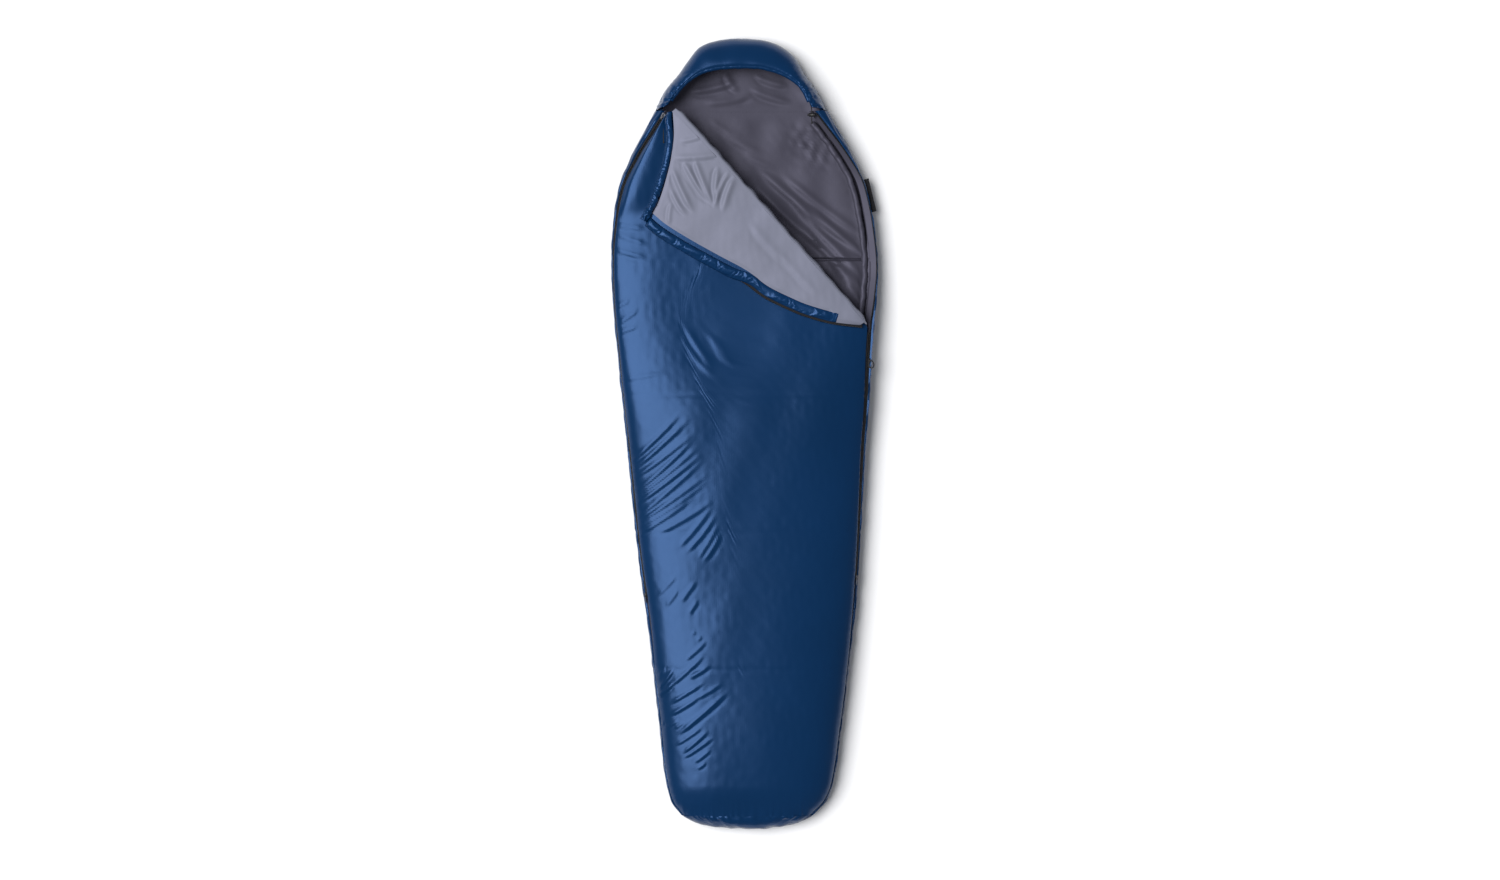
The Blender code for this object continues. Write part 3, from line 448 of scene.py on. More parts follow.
def hood_back_face(across, along, depth):
    """The dish of the hood: flat inside, its rim curving up to the widest line."""
    ring = hood_ring(depth)
    top = ring[:, 1].max() - 0.0015
    from_foot = mix(NECK_SEAM - 0.001, top, 1 - (1 - along) ** 1.6)
    peak = int(ring[:, 1].argmax())
    left = np.interp(from_foot, ring[: peak + 1, 1], ring[: peak + 1, 0])
    right = np.interp(from_foot, ring[peak:, 1][::-1], ring[peak:, 0][::-1])
    x = mix(left, right, 0.5 - 0.5 * np.cos(math.pi * across))
    point = np.stack([x, from_foot], axis=-1)
    away = np.linalg.norm(point[..., None, :] - ring, axis=-1).min(axis=-1)
    on_rim = (across <= 0) | (across >= 1) | (along >= 1)
    inside = np.where(on_rim, 0.0, np.clip(away / (CORNER - depth), 0, 1))
    rise = 1 - np.sqrt(1 - (1 - inside) ** 2)
    return world(x, from_foot, mix(depth, SIDE_HEIGHT - 0.0004, rise))


def visor_height(share):
    return 0.058 + 0.006 * np.sin(math.pi * share)


def visor_face(along, around, depth):
    """The hood's brim, from the widest line up and over to the edge of the opening."""
    outer, inner = hood_outline(along), hood_opening(along)
    reach = np.linalg.norm(inner - outer, axis=-1)
    turn = around * math.pi / 2
    share = depth / reach + (1 - depth / reach) * (1 - np.cos(turn))
    place = mix(outer, inner, share[..., None])
    rise = (visor_height(along) - depth) * np.sin(turn)
    return world(place[..., 0], place[..., 1], SIDE_HEIGHT + 0.0004 + rise)


def flap_edge(share):
    here = flap_zip_edge(share)
    ahead = flap_zip_edge(np.minimum(share + 0.02, 1)) - flap_zip_edge(np.maximum(share - 0.02, 0))
    ahead = unit(ahead)
    return here, np.stack([-ahead[..., 1], ahead[..., 0]], axis=-1)


def flap_plan(along, out, set_in=CHANNEL):
    """Plan place on the flap: along from the neck edge to the tip, out from fold to zip."""
    reach = FOLD_REACH * along
    fold = mix(np.array(FOLD_START), np.array(FOLD_END), reach[..., None])
    edge, inward = flap_edge(reach)
    edge = edge + inward * np.asarray(set_in)[..., None]
    straight = mix(fold, edge, out[..., None])
    corner = flap_edge(np.array(0.0))[0]
    neck = flap_neck_edge(out) - mix(np.array(FOLD_START), corner, out[..., None])
    return straight + neck * (1 - along[..., None]) ** 3


def flap_taper(along, out):
    edge = 1 - 0.65 * out**3
    tip = 1 - 0.6 * along**4
    neck = 1 - 0.4 * (1 - along) ** 8
    return edge * tip * neck


def flap_underside(place):
    return crown_height(place[..., 0], place[..., 1]) + FLAP_LIFT


def flap_depth(along):
    """How far the flap reaches from its fold to its zip."""
    far = flap_plan(along, np.ones_like(along)) - flap_plan(along, np.zeros_like(along))
    return np.linalg.norm(far, axis=-1)


# Soft surfaces: ripples, creases and gathers, all in metres


def ripple(x, y, size, seed, stretch=1.0):
    """Soft random waves about 1 high, of a size, longer along Y by the stretch."""
    rng = np.random.default_rng(seed)
    total = np.zeros(np.broadcast(x, y).shape)
    waves = 14
    for _ in range(waves):
        heading = rng.uniform(0, math.pi)
        pace = 2 * math.pi / size * rng.uniform(0.55, 1.6)
        phase = rng.uniform(0, 2 * math.pi)
        total += np.sin(
            pace * (x * math.cos(heading) + y * math.sin(heading) / stretch) + phase
        )
    return total / math.sqrt(waves / 2)


def crease(x, y, start, end, width, height, bow=0.0):
    """One fold: a rounded ridge with a sharper hollow along its right-hand side."""
    start, end = np.array(start), np.array(end)
    run = end - start
    length = np.linalg.norm(run)
    share = ((x - start[0]) * run[0] + (y - start[1]) * run[1]) / length**2
    aside = ((x - start[0]) * run[1] - (y - start[1]) * run[0]) / length
    aside = aside - bow * 4 * share * (1 - share)
    share = (share + 0.12) / 1.24
    near = (share > 0) & (share < 1) & (np.abs(aside) < 5 * width)
    height_here = np.zeros_like(x)
    s, a = share[near], aside[near]
    fade = ease(s / 0.25) * ease((1 - s) / 0.32)
    girth = width * (0.65 + 0.35 * fade)
    ridge = np.exp(-((a / girth) ** 2))
    hollow = np.exp(-(((a - 1.35 * girth) / (0.75 * girth)) ** 2))
    height_here[near] = height * fade * (ridge - 0.6 * hollow)
    return height_here


def creases(x, v, lines, width, height, seed, bow=0.0):
    """A group of creases that differ a little in width, height and bend."""
    rng = np.random.default_rng(seed)
    total = np.zeros_like(x)
    for x0, v0, x1, v1, *strength in lines:
        size = strength[0] if strength else 1.0
        girth = width * rng.uniform(0.85, 1.15) * math.sqrt(size)
        rise = height * rng.uniform(0.75, 1.15) * size
        total += crease(x, v, (x0, v0), (x1, v1), girth, rise, bow * rng.uniform(0.4, 1.4))
    return total


def lining_folds(x, v, table, bow):
    return sum(crease(x, v, *fold, bow) for fold in table)


def gathers(run, away, pitch, reach, height, seed):
    """Puckers square to a seam: run is the place along it, away the distance from it."""
    rng = np.random.default_rng(seed)
    warped = run + 0.5 * pitch * np.interp(
        run, np.linspace(run.min(), run.max(), 60), rng.uniform(-1, 1, 60)
    )
    strength = np.interp(run, np.linspace(run.min(), run.max(), 45), rng.uniform(0.2, 1.0, 45))
    lengths = np.interp(run, np.linspace(run.min(), run.max(), 90), rng.uniform(0.5, 1.3, 90))
    wave = np.sin(2 * math.pi * warped / pitch)
    return height * strength * wave * np.exp(-np.clip(away, 0, None) / (reach * lengths))


def quilting(from_foot, depth=0.0007, width=0.006):
    """The hollows that lines of stitching pull into a quilt."""
    total = np.zeros_like(from_foot)
    for line in QUILT_LINES:
        away = (from_foot - line) / width
        total -= depth * np.exp(-(away**2)) - 0.35 * depth * np.exp(-((away / 3.5) ** 2))
    return total


# Materials


def hex_colour(code):
    """Linear colour from an sRGB hex code."""
    parts = [int(code[i : i + 2], 16) / 255 for i in (1, 3, 5)]
    return tuple(c / 12.92 if c <= 0.04045 else ((c + 0.055) / 1.055) ** 2.4 for c in parts)


def add_node(material, kind, settings=None, **links):
    """Adds a node, with its settings and its links: input name = an output socket."""
    node = material.node_tree.nodes.new(kind)
    for name, value in (settings or {}).items():
        if name in node.inputs:
            node.inputs[name].default_value = value
        else:
            setattr(node, name, value)
    for name, output in links.items():
        material.node_tree.links.new(output, node.inputs[name.replace("_", " ")])
    return node


def new_finish(name, **values):
    """A material with its shader's plain values set on the shader itself."""
    material = bpy.data.materials.new(name)
    material.use_nodes = True
    shader = material.node_tree.nodes["Principled BSDF"]
    for key, value in values.items():
        shader.inputs[key.replace("_", " ")].default_value = value
    return material, shader


def mottled(material, shader, light, dark, size, source, contrast=0.5):
    """Colour that drifts between two shades, over patches of a size in metres."""
    patches = add_node(
        material,
        "ShaderNodeTexNoise",
        {"Scale": 1 / size, "Detail": 3.0, "Roughness": 0.55},
        Vector=source,
    )
    spread = add_node(
        material,
        "ShaderNodeMapRange",
        {"From Min": 0.5 - contrast / 2, "From Max": 0.5 + contrast / 2},
        Value=patches.outputs["Fac"],
    )
    blend = add_node(material, "ShaderNodeMix", {"data_type": "RGBA"})
    links = material.node_tree.links
    links.new(spread.outputs["Result"], blend.inputs[0])
    blend.inputs[6].default_value = (*hex_colour(dark), 1.0)
    blend.inputs[7].default_value = (*hex_colour(light), 1.0)
    links.new(blend.outputs[2], shader.inputs["Base Color"])


def woven(material, shader, source, thread, height, crinkle, crinkle_height):
    """A plain weave with threads of a width in metres, over a fine crinkle in the cloth."""
    threads = []
    for direction in ("X", "Y"):
        threads.append(
            add_node(
                material,
                "ShaderNodeTexWave",
                {"bands_direction": direction, "Scale": 1 / thread / 20, "Distortion": 0.6},
                Vector=source,
            )
        )
    weave = add_node(material, "ShaderNodeMath", {"operation": "MAXIMUM"})
    links = material.node_tree.links
    links.new(threads[0].outputs["Fac"], weave.inputs[0])
    links.new(threads[1].outputs["Fac"], weave.inputs[1])
    cloth = add_node(
        material,
        "ShaderNodeTexNoise",
        {"Scale": 1 / crinkle, "Detail": 4.0, "Roughness": 0.6},
        Vector=source,
    )
    folds = add_node(
        material,
        "ShaderNodeBump",
        {"Distance": crinkle_height, "Strength": 1.0},
        Height=cloth.outputs["Fac"],
    )
    surface = add_node(
        material,
        "ShaderNodeBump",
        {"Distance": height, "Strength": 0.6},
        Height=weave.outputs["Value"],
        Normal=folds.outputs["Normal"],
    )
    links.new(surface.outputs["Normal"], shader.inputs["Normal"])


def grained(material, shader, source, grit, strength):
    """A fine raised grain, with grit of a size in metres."""
    grain = add_node(
        material, "ShaderNodeTexNoise", {"Scale": 1 / grit, "Detail": 2.0}, Vector=source
    )
    bump = add_node(
        material,
        "ShaderNodeBump",
        {"Distance": 0.00003, "Strength": strength},
        Height=grain.outputs["Fac"],
    )
    material.node_tree.links.new(bump.outputs["Normal"], shader.inputs["Normal"])


def place_source(material):
    return add_node(material, "ShaderNodeTexCoord").outputs["Object"]


def make_shell_nylon():
    """Calendered nylon taffeta, dyed navy: its flattened threads give a coloured satin glow."""
    material, shader = new_finish(
        "shell_nylon",
        Roughness=0.27,
        IOR=1.53,
        Specular_IOR_Level=0.45,
        Specular_Tint=(*hex_colour("#8BB8FF"), 1.0),
    )
    source = place_source(material)
    mottled(material, shader, "#072A4F", "#052546", 0.35, source)
    # the threads are really 0.15 mm apart, drawn at 0.9 mm so that they show
    woven(material, shader, source, 0.0009, 0.00004, 0.018, 0.00014)
    return material


def make_lining_polyester(name, light, dark):
    """Brushed polyester taffeta, grey: soft and matt, with a faint bloom from its nap."""
    material, shader = new_finish(
        name,
        Roughness=0.50,
        IOR=1.5,
        Specular_IOR_Level=0.42,
        Specular_Tint=(*hex_colour("#D4D2F0"), 1.0),
    )
    source = place_source(material)
    mottled(material, shader, light, dark, 0.12, source)
    # the threads are really 0.15 mm apart, drawn at 0.9 mm so that they show
    woven(material, shader, source, 0.0009, 0.00004, 0.014, 0.00025)
    return material


def make_zip_nylon():
    """Moulded nylon coil, black, with the dull gloss of worn plastic."""
    material, shader = new_finish("zip_nylon", Roughness=0.42, IOR=1.53, Specular_IOR_Level=0.4)
    mottled(material, shader, "#121113", "#0B0B0C", 0.004, place_source(material))
    return material


def make_zip_tape():
    """Woven polyester tape, black and matt, its weave just raised enough to catch light."""
    material, shader = new_finish("zip_tape_weave", Roughness=0.8, Specular_IOR_Level=0.3)
    source = place_source(material)
    mottled(material, shader, "#1A1A1E", "#121215", 0.003, source)
    # yarns 0.3 mm apart, drawn at 0.8 mm so that they show
    woven(material, shader, source, 0.0008, 0.00008, 0.006, 0.0001)
    return material


def make_zinc():
    """Die-cast zinc under a gunmetal lacquer, rubbed paler where fingers hold it."""
    material, shader = new_finish("gunmetal_zinc", Metallic=0.85, Roughness=0.38)
    source = place_source(material)
    mottled(material, shader, "#4A4B50", "#26272B", 0.003, source)
    grained(material, shader, source, 0.00111, 0.5)
    return material


def make_acetal():
    """Moulded acetal, black, with a fine spark-eroded grain."""
    material, shader = new_finish("black_acetal", Roughness=0.45, IOR=1.48)
    source = place_source(material)
    mottled(material, shader, "#1D1D20", "#151518", 0.004, source)
    grained(material, shader, source, 0.000714, 0.6)
    return material


def make_cord():
    """Braided polyester cord, black and matt, with soft raised strands."""
    material, shader = new_finish(
        "braided_cord", Roughness=0.75, Sheen_Weight=0.2, Specular_IOR_Level=0.3
    )
    source = place_source(material)
    mottled(material, shader, "#222226", "#131316", 0.0015, source)
    # strands 0.4 mm wide, drawn at 0.6 mm so that they show
    woven(material, shader, source, 0.0006, 0.0001, 0.003, 0.0001)
    return material


def make_webbing():
    """Ribbed nylon webbing, black and nearly without gloss."""
    material, shader = new_finish("ribbed_webbing", Roughness=0.78, Specular_IOR_Level=0.3)
    source = place_source(material)
    mottled(material, shader, "#1F1F23", "#141417", 0.004, source)
    # ribs 1.1 mm apart, as they are
    woven(material, shader, source, 0.0011, 0.00012, 0.008, 0.0001)
    return material


def make_spring_steel():
    """Drawn spring wire, bright, with a faint lengthwise grain."""
    material, shader = new_finish("spring_wire", Metallic=1.0, Roughness=0.25)
    mottled(material, shader, "#C4C6CA", "#A9ABB0", 0.002, place_source(material))
    return material


FINISH = {
    "blue_nylon": make_shell_nylon(),
    "grey_lining": make_lining_polyester("lining_polyester", "#757888", "#6F7280"),
    "zip_coil": make_zip_nylon(),
    "zip_tape": make_zip_tape(),
    "dark_metal": make_zinc(),
    "black_plastic": make_acetal(),
    "black_cord": make_cord(),
    "black_webbing": make_webbing(),
    "spring_steel": make_spring_steel(),
}
# painted shade: a darker copy of the same grey lining cloth, for the linings that lie deep inside
# the bag in shadow
SHADED_LINING = make_lining_polyester("shaded_lining_polyester", "#41404B", "#373641")


# Building blocks


def add_piece(name, data, slot, body, *replaced):
    """Puts a finished mesh or curve on a body, in place of its plain solids."""
    piece = bpy.data.objects.new(name, data)
    bpy.context.scene.collection.objects.link(piece)
    data.materials.clear()
    data.materials.append(FINISH[slot])
    if body:
        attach(piece, body)
    if replaced:
        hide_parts(*replaced)
    return piece


# gives a piece the darker copy of the lining cloth, its painted shade
def give_shaded_lining(piece):
    piece.data.materials[0] = SHADED_LINING


def grid_faces(rows, columns, first=0, turned=False):
    """Quads over a grid of points numbered row by row."""
    i, j = np.meshgrid(np.arange(rows - 1), np.arange(columns - 1), indexing="ij")
    a = first + i * columns + j
    quads = np.stack([a, a + 1, a + columns + 1, a + columns], axis=-1).reshape(-1, 4)
    return quads[:, ::-1] if turned else quads


def new_mesh(name, points, faces):
    data = bpy.data.meshes.new(name)
    data.from_pydata(points.tolist(), [], [list(map(int, face)) for face in faces])
    data.shade_smooth()
    shape = bmesh.new()
    shape.from_mesh(data)
    bmesh.ops.recalc_face_normals(shape, faces=list(shape.faces))
    if shape.calc_volume(signed=True) < 0:
        bmesh.ops.reverse_faces(shape, faces=list(shape.faces))
    shape.to_mesh(data)
    shape.free()
    return data


def closed_between(name, outer, inner):
    """A closed mesh from two grids of points, outer and inner, joined round their rims."""
    rows, columns = outer.shape[:2]
    count = rows * columns
    points = np.concatenate([outer.reshape(-1, 3), inner.reshape(-1, 3)])
    index = np.arange(count).reshape(rows, columns)
    rim = np.concatenate(
        [index[0, :-1], index[:-1, -1], index[-1, :0:-1], index[:0:-1, 0]]
    )
    ahead = np.roll(rim, -1)
    wall = np.stack([rim, rim + count, ahead + count, ahead], axis=-1)
    faces = np.concatenate(
        [grid_faces(rows, columns, 0, True), grid_faces(rows, columns, count), wall]
    )
    data = new_mesh(name, points, faces)
    data.set_sharp_from_angle(angle=math.radians(55))
    return data


def outward(outer, inner):
    """Unit normals of the outer grid, pointing away from the inner one."""
    normal = unit(np.cross(np.gradient(outer, axis=1), np.gradient(outer, axis=0)))
    return normal * np.sign(((outer - inner) * normal).sum(-1).mean())


def settle(data, held, most, swell=0.0):
    """Lets padded cloth find its own shape under a little pressure, held along its seams.

    No point moves further than the most, in metres.
    """
    scene = bpy.context.scene
    trial = bpy.data.objects.new("trial", data.copy())
    scene.collection.objects.link(trial)
    trial.vertex_groups.new(name="seam").add(np.flatnonzero(held).tolist(), 1.0, "REPLACE")
    cloth = trial.modifiers.new("cloth", "CLOTH")
    cloth.settings.quality = 4
    cloth.settings.mass = 0.1
    cloth.settings.bending_stiffness = 0.3
    cloth.settings.vertex_group_mass = "seam"
    cloth.settings.shrink_min = -swell
    cloth.settings.use_pressure = True
    cloth.settings.uniform_pressure_force = CLOTH_PRESSURE
    cloth.settings.effector_weights.gravity = 0.0
    cloth.collision_settings.use_collision = False
    cloth.point_cache.frame_start, cloth.point_cache.frame_end = 1, CLOTH_FRAMES
    for moment in range(1, CLOTH_FRAMES + 1):
        scene.frame_set(moment)
    shaped = trial.evaluated_get(bpy.context.evaluated_depsgraph_get()).to_mesh()
    before, after = np.empty(len(data.vertices) * 3), np.empty(len(data.vertices) * 3)
    data.vertices.foreach_get("co", before)
    shaped.vertices.foreach_get("co", after)
    move = (after - before).reshape(-1, 3)
    far = np.linalg.norm(move, axis=1, keepdims=True)
    move *= most * np.tanh(far / most) / np.maximum(far, 1e-9)
    data.vertices.foreach_set("co", before + move.ravel())
    data.update()
    bpy.data.objects.remove(trial, do_unlink=True)
    scene.frame_set(1)


def on_rim(rows, columns):
    """Marks the rim of the outer grid and all of the inner one, in a closed panel's points."""
    outer = np.zeros((rows, columns), bool)
    outer[[0, -1], :] = True
    outer[:, [0, -1]] = True
    return np.concatenate([outer.ravel(), np.ones(rows * columns, bool)])


def spaced(count):
    return np.linspace(0, 1, count)


def add_panel(name, outer, inner, slot, body, *replaced):
    return add_piece(name, closed_between(name, outer, inner), slot, body, *replaced)


def tube_points(route, radius, sides, squash=1.0, up=(0, 0, 1)):
    """Rings of points round a route; radius is one number or one for each point."""
    route = np.asarray(route, float)
    ahead = unit(np.gradient(route, axis=0))
    across = unit(np.cross(ahead, np.array(up, float)))
    rise = np.cross(across, ahead)
    turn = np.arange(sides) * 2 * math.pi / sides
    radius = np.broadcast_to(radius, len(route))[:, None, None]
    ring = across[:, None] * np.cos(turn)[None, :, None] + (
        squash * rise[:, None] * np.sin(turn)[None, :, None]
    )
    return route[:, None] + ring * radius


def turns(sides):
    return (np.arange(sides) * 2 * math.pi / sides)[None, :]


def puffed(route, radius, squash=1.0):
    """Rings round a route, with a radius for each point and each turn round it."""
    spokes = tube_points(route, 1.0, radius.shape[1], squash) - route[:, None]
    return route[:, None] + spokes * radius[..., None]


def tube_mesh(name, rings):
    """A closed tube over rings of points, its ends drawn to a point."""
    count, sides = rings.shape[:2]
    points = np.concatenate([rings.reshape(-1, 3), rings[:1].mean(1), rings[-1:].mean(1)])
    index = np.arange(count * sides).reshape(count, sides)
    ahead = np.roll(index, -1, axis=1)
    walls = np.stack([index[:-1], ahead[:-1], ahead[1:], index[1:]], axis=-1).reshape(-1, 4)
    first = [[count * sides, b, a] for a, b in zip(index[0], ahead[0])]
    last = [[count * sides + 1, a, b] for a, b in zip(index[-1], ahead[-1])]
    return new_mesh(name, points, list(walls) + first + last)


def evenly(route, spacing):
    """The route again, with points a spacing apart."""
    route = np.asarray(route, float)
    walked = np.concatenate([[0], np.cumsum(np.linalg.norm(np.diff(route, axis=0), axis=1))])
    count = max(int(walked[-1] / spacing), 2)
    places = np.linspace(0, walked[-1], count + 1)
    return np.stack([np.interp(places, walked, column) for column in route.T], axis=-1)


def rounded_rim(away, radius):
    """How far each face draws in near a free edge, for a round one."""
    share = np.clip(1 - away / radius, 0, 1)
    return radius * (1 - np.sqrt(1 - share**2))


# The front


def build_front():
    """The front's outer quilt, with its folds, and its lining underneath."""
    share = spaced(176)
    columns = share - 0.10 * np.sin(math.pi * share) * (1 - 0.4 * share)  # closer on the left
    across, along = np.meshgrid(columns, spaced(400))
    outer = front_face(across, along, 0.0)
    inner = front_face(across, along, FRONT_PAD)
    x, v = outer[..., 0], outer[..., 1] + LENGTH / 2
    left_away = np.linalg.norm(outer - outer[:, :1], axis=-1)
    right_away = np.linalg.norm(outer - outer[:, -1:], axis=-1)

    height = quilting(v)
    height += 0.0004 * ripple(x, v, 0.16, 11, 1.8) + 0.00008 * ripple(x, v, 0.035, 12)
    height += front_folds(x, v)
    height += gathers(v, left_away, 0.016, 0.011, 0.0006, 21)
    height += gathers(v, right_away, 0.017, 0.014, 0.0007, 22)
    height -= rounded_rim(left_away, SEAM_ROUND) + rounded_rim(right_away, SEAM_ROUND)
    height += narrow_strip_puff(v, left_away, outer[:, :1, 0])
    top_away = (along[-1:] - along) * (outer[-1:, :, 1] - FOOT_SEAM + LENGTH / 2) * 0.7
    height -= rounded_rim(top_away, 0.0025)
    height += gathers(x, v - FOOT_SEAM, 0.021, 0.020, 0.0010, 23)
    outer = outer + outward(outer, inner) * height[..., None]
    outer[..., 1] -= 0.0004 * (along == 0)  # laps the footbox by a hair

    replaced = ("front_shell", "front_insulation")
    quilt = add_panel("front_quilt", outer, inner, "blue_nylon", "bag", *replaced)

    across, along = np.meshgrid(spaced(60), spaced(110))
    outer = front_face(across, along, FRONT_PAD + GAP)
    inner = front_face(across, along, FRONT_PAD + GAP + CLOTH)
    sag = 0.0008 + 0.0008 * ripple(outer[..., 0], outer[..., 1], 0.07, 31, 1.5)
    inner = inner - outward(outer, inner) * np.clip(sag, 0, None)[..., None]
    name = "front_panel_lining"
    lining = add_panel(name, outer, inner, "grey_lining", "bag", "front_lining")


def narrow_strip_puff(v, left_away, left_edge):
    """The strip between the left zip and the folded corner's hem, which stands up fuller."""
    hem_line = flap_neck_edge(np.linspace(0, 1, 60))[::-1]
    width = np.interp(v, hem_line[:, 1], hem_line[:, 0]) - 0.012 - left_edge
    part = left_away / np.maximum(width, 0.02)
    return 0.0075 * ease(part / 0.28) * ease((1 - part) / 0.72) * ease((v - 1.61) / 0.07)


def front_folds(x, v):
    """The drag lines that run up and in from the left side, in their groups."""
    total = creases(x, v, SIDE_DRAGS, 0.0054, 0.0024, 41, 0.003)
    total += creases(x, v, FOOT_DRAGS, 0.0050, 0.0022, 42, 0.001)
    total += creases(x, v, SMALL_CREASES, 0.0060, 0.0014, 43)
    total += creases(x, v, CORNER_CREASES, 0.0110, 0.0016, 44)
    total += creases(x, v, ZIP_CREASES, 0.0060, 0.0016, 45)
    return total


# The back and its lining


def build_back():
    across, along = np.meshgrid(spaced(120), spaced(260))
    outer = back_face(across, along, 0.0)
    inner = back_face(across, along, BACK_PAD)
    v = outer[..., 1] + LENGTH / 2
    seam_away = np.minimum(across, 1 - across) * 0.75
    upright = ease((np.abs(2 * across - 1) - 0.5) / 0.15)
    height = (quilting(v, 0.0016) + 0.0007 * ripple(across * 0.8, v, 0.05, 51, 1.4)) * upright
    height += gathers(v, seam_away, 0.015, 0.014, 0.0010, 52) * upright
    height -= rounded_rim(seam_away, SEAM_ROUND)
    height += np.minimum(0, quilting(v, 0.0012)) * (1 - upright)
    height = np.where(outer[..., 2] < 0.002, np.minimum(height, 0), height)
    outer = outer + outward(outer, inner) * height[..., None]
    outer[..., 0] -= right_tuck(across, v)
    outer[..., 2] = np.maximum(outer[..., 2], 0.0)
    replaced = ("back_shell", "back_insulation")
    quilt = add_panel("back_quilt", outer, inner, "blue_nylon", "bag", *replaced)
    build_back_lining()


def right_tuck(across, v):
    """How far the right side draws in, most beside the open zip and nothing at its rim."""
    tuck = RIGHT_TUCK * ease((v - 0.60) / 0.12) * ease((1.80 - v) / 0.12)
    tuck *= 1 + 0.8 * ease((v - 1.10) / 0.12) * ease((1.68 - v) / 0.08)
    return tuck * ease((across - 0.70) / 0.13) * (1 - ease((across - 0.87) / 0.13))


def build_back_lining():
    """The lining that the sleeper lies on, turned up over the quilt's edges to the zips."""
    climb = np.linspace(1, 0, 7)[:-1]
    columns = np.concatenate([0 * climb, spaced(150), 0 * climb + 1])
    climb = np.concatenate([climb, np.zeros(150), climb[::-1]])[None, :]
    quilted = QUILT_LINES[-1]
    seam_rows = (quilted + np.linspace(-0.008, 0.008, 15) - FOOT_SEAM) / (NECK_SEAM - FOOT_SEAM)
    rows = np.union1d(spaced(275) ** 0.8, seam_rows ** (1 / FOOT_CROWDING))
    across, along = np.meshgrid(columns, rows)
    low = back_face(across, along, mix(BACK_PAD + GAP, WALL_TOP, climb))
    high = back_face(across, along, mix(BACK_PAD + GAP + CLOTH, WALL_TOP, climb))
    up = unit(back_face(across, along, 0.010) - back_face(mix(across, 0.5, 0.004), along, 0.010))
    on_wall = ((across == 0) | (across == 1))[..., None]
    low, high = low + up * GAP * on_wall, high + up * (GAP + CLOTH) * on_wall

    x, v = high[..., 0], high[..., 1] + LENGTH / 2
    height = 0.0028 + back_lining_height(x, v) * ease((NECK_SEAM - v) / 0.04)
    height = np.clip(height, 0.0002, 0.012)
    # the lining stands up fuller in the angle under the folded corner's tip
    height += 0.034 * np.exp(-(((x - 0.285) / 0.055) ** 2) - (((v - 1.44) / 0.09) ** 2))
    height *= ease(np.minimum(across, 1 - across) * 0.75 / 0.03)
    stitching = 0.0045 * np.exp(-(((v - quilted) / 0.0028) ** 2))
    height = np.maximum(height - stitching, np.minimum(height, 0.0))
    high = high + outward(high, low) * height[..., None]
    name = "back_panel_lining"
    lining = add_panel(name, high, low, "grey_lining", "bag", "back_lining")
    # painted shade: the back lining takes the darker copy of the lining cloth
    give_shaded_lining(lining)


def back_lining_height(x, v):
    """Long drag lines beside the fold, small crinkles by the shoulder, and stitched seams."""
    height = 0.0010 * ripple(x, v, 0.13, 61, 1.3) + 0.0001 * ripple(x, v, 0.03, 62)
    height += lining_folds(x, v, BACK_LINING_FOLDS, 0.004)
    patch = np.exp(-(((x - 0.185) / 0.05) ** 2) - (((v - 1.820) / 0.05) ** 2))
    height += patch * (0.0026 * ripple(x, v, 0.030, 63) + 0.0014 * ripple(x, v, 0.017, 64))
    return height + quilting(v, 0.0030, 0.0035)


def build_footbox():
    across, along = np.meshgrid(spaced(72), spaced(72))
    outer = foot_face(across, along, 0.0)
    inner = foot_face(across, along, FOOT_PAD)
    reach = np.maximum(np.abs(2 * across - 1), np.abs(2 * along - 1))
    turn = np.arctan2(2 * along - 1, 2 * across - 1)
    height = 0.0005 * ripple(outer[..., 0], outer[..., 2], 0.05, 71)
    puckers = gathers(turn * 0.16, (1 - reach) * 0.05, 0.015, 0.02, 0.0010, 72)
    height += puckers * ease(reach / 0.4)
    height = np.where(outer[..., 2] < 0.012, np.minimum(height, 0), height)
    outer = outer + outward(outer, inner) * height[..., None]
    outer[..., 2] = np.maximum(outer[..., 2], 0.0)
    data = closed_between("footbox_quilt", outer, inner)
    on_floor = outer[..., 2].ravel() < 0.012
    held = on_rim(*outer.shape[:2]) | np.concatenate([on_floor, on_floor])
    settle(data, held, 0.0015, 0.03)
    replaced = ("footbox_shell", "footbox_insulation")
    quilt = add_piece("footbox_quilt", data, "blue_nylon", "bag", *replaced)

    across, along = np.meshgrid(spaced(30), spaced(30))
    depths = FOOT_PAD + 0.0006, FOOT_PAD + 0.0006 + CLOTH
    faces = [foot_face(across, along, depth) for depth in depths]
    lining = add_panel("footbox_end_lining", *faces, "grey_lining", "bag", "footbox_lining")


# The hood


def build_hood_back():
    across, along = np.meshgrid(spaced(80), spaced(60))
    outer = hood_back_face(across, along, 0.0)
    inner = hood_back_face(across, along, HOOD_PAD)
    outer[..., 2] = np.maximum(outer[..., 2], 0.0)
    replaced = ("hood_back_shell", "hood_back_insulation")
    quilt = add_panel("hood_back_quilt", outer, inner, "blue_nylon", "bag", *replaced)

    across, along = np.meshgrid(spaced(130), spaced(80))
    low = hood_back_face(across, along, HOOD_PAD + GAP)
    high = hood_back_face(across, along, HOOD_PAD + GAP + CLOTH)
    x, v = high[..., 0], high[..., 1] + LENGTH / 2
    height = 0.0028 + 0.0010 * ripple(x, v, 0.10, 81) * ease((v - NECK_SEAM) / 0.04)
    height += lining_folds(x, v, HOOD_LINING_FOLDS, 0.004)
    height = mix(0.0028, height, ease((v - NECK_SEAM) / 0.03))
    edge_away = np.minimum(np.minimum(across, 1 - across) * 0.4, (1 - along) * 0.18)
    high[..., 2] += np.clip(height, 0.0002, 0.010) * ease(edge_away / 0.02)
    name = "hood_back_panel_lining"
    lining = add_panel(name, high, low, "grey_lining", "bag", "hood_back_lining")
    # painted shade: the hood's lining takes the darker copy of the lining cloth
    give_shaded_lining(lining)


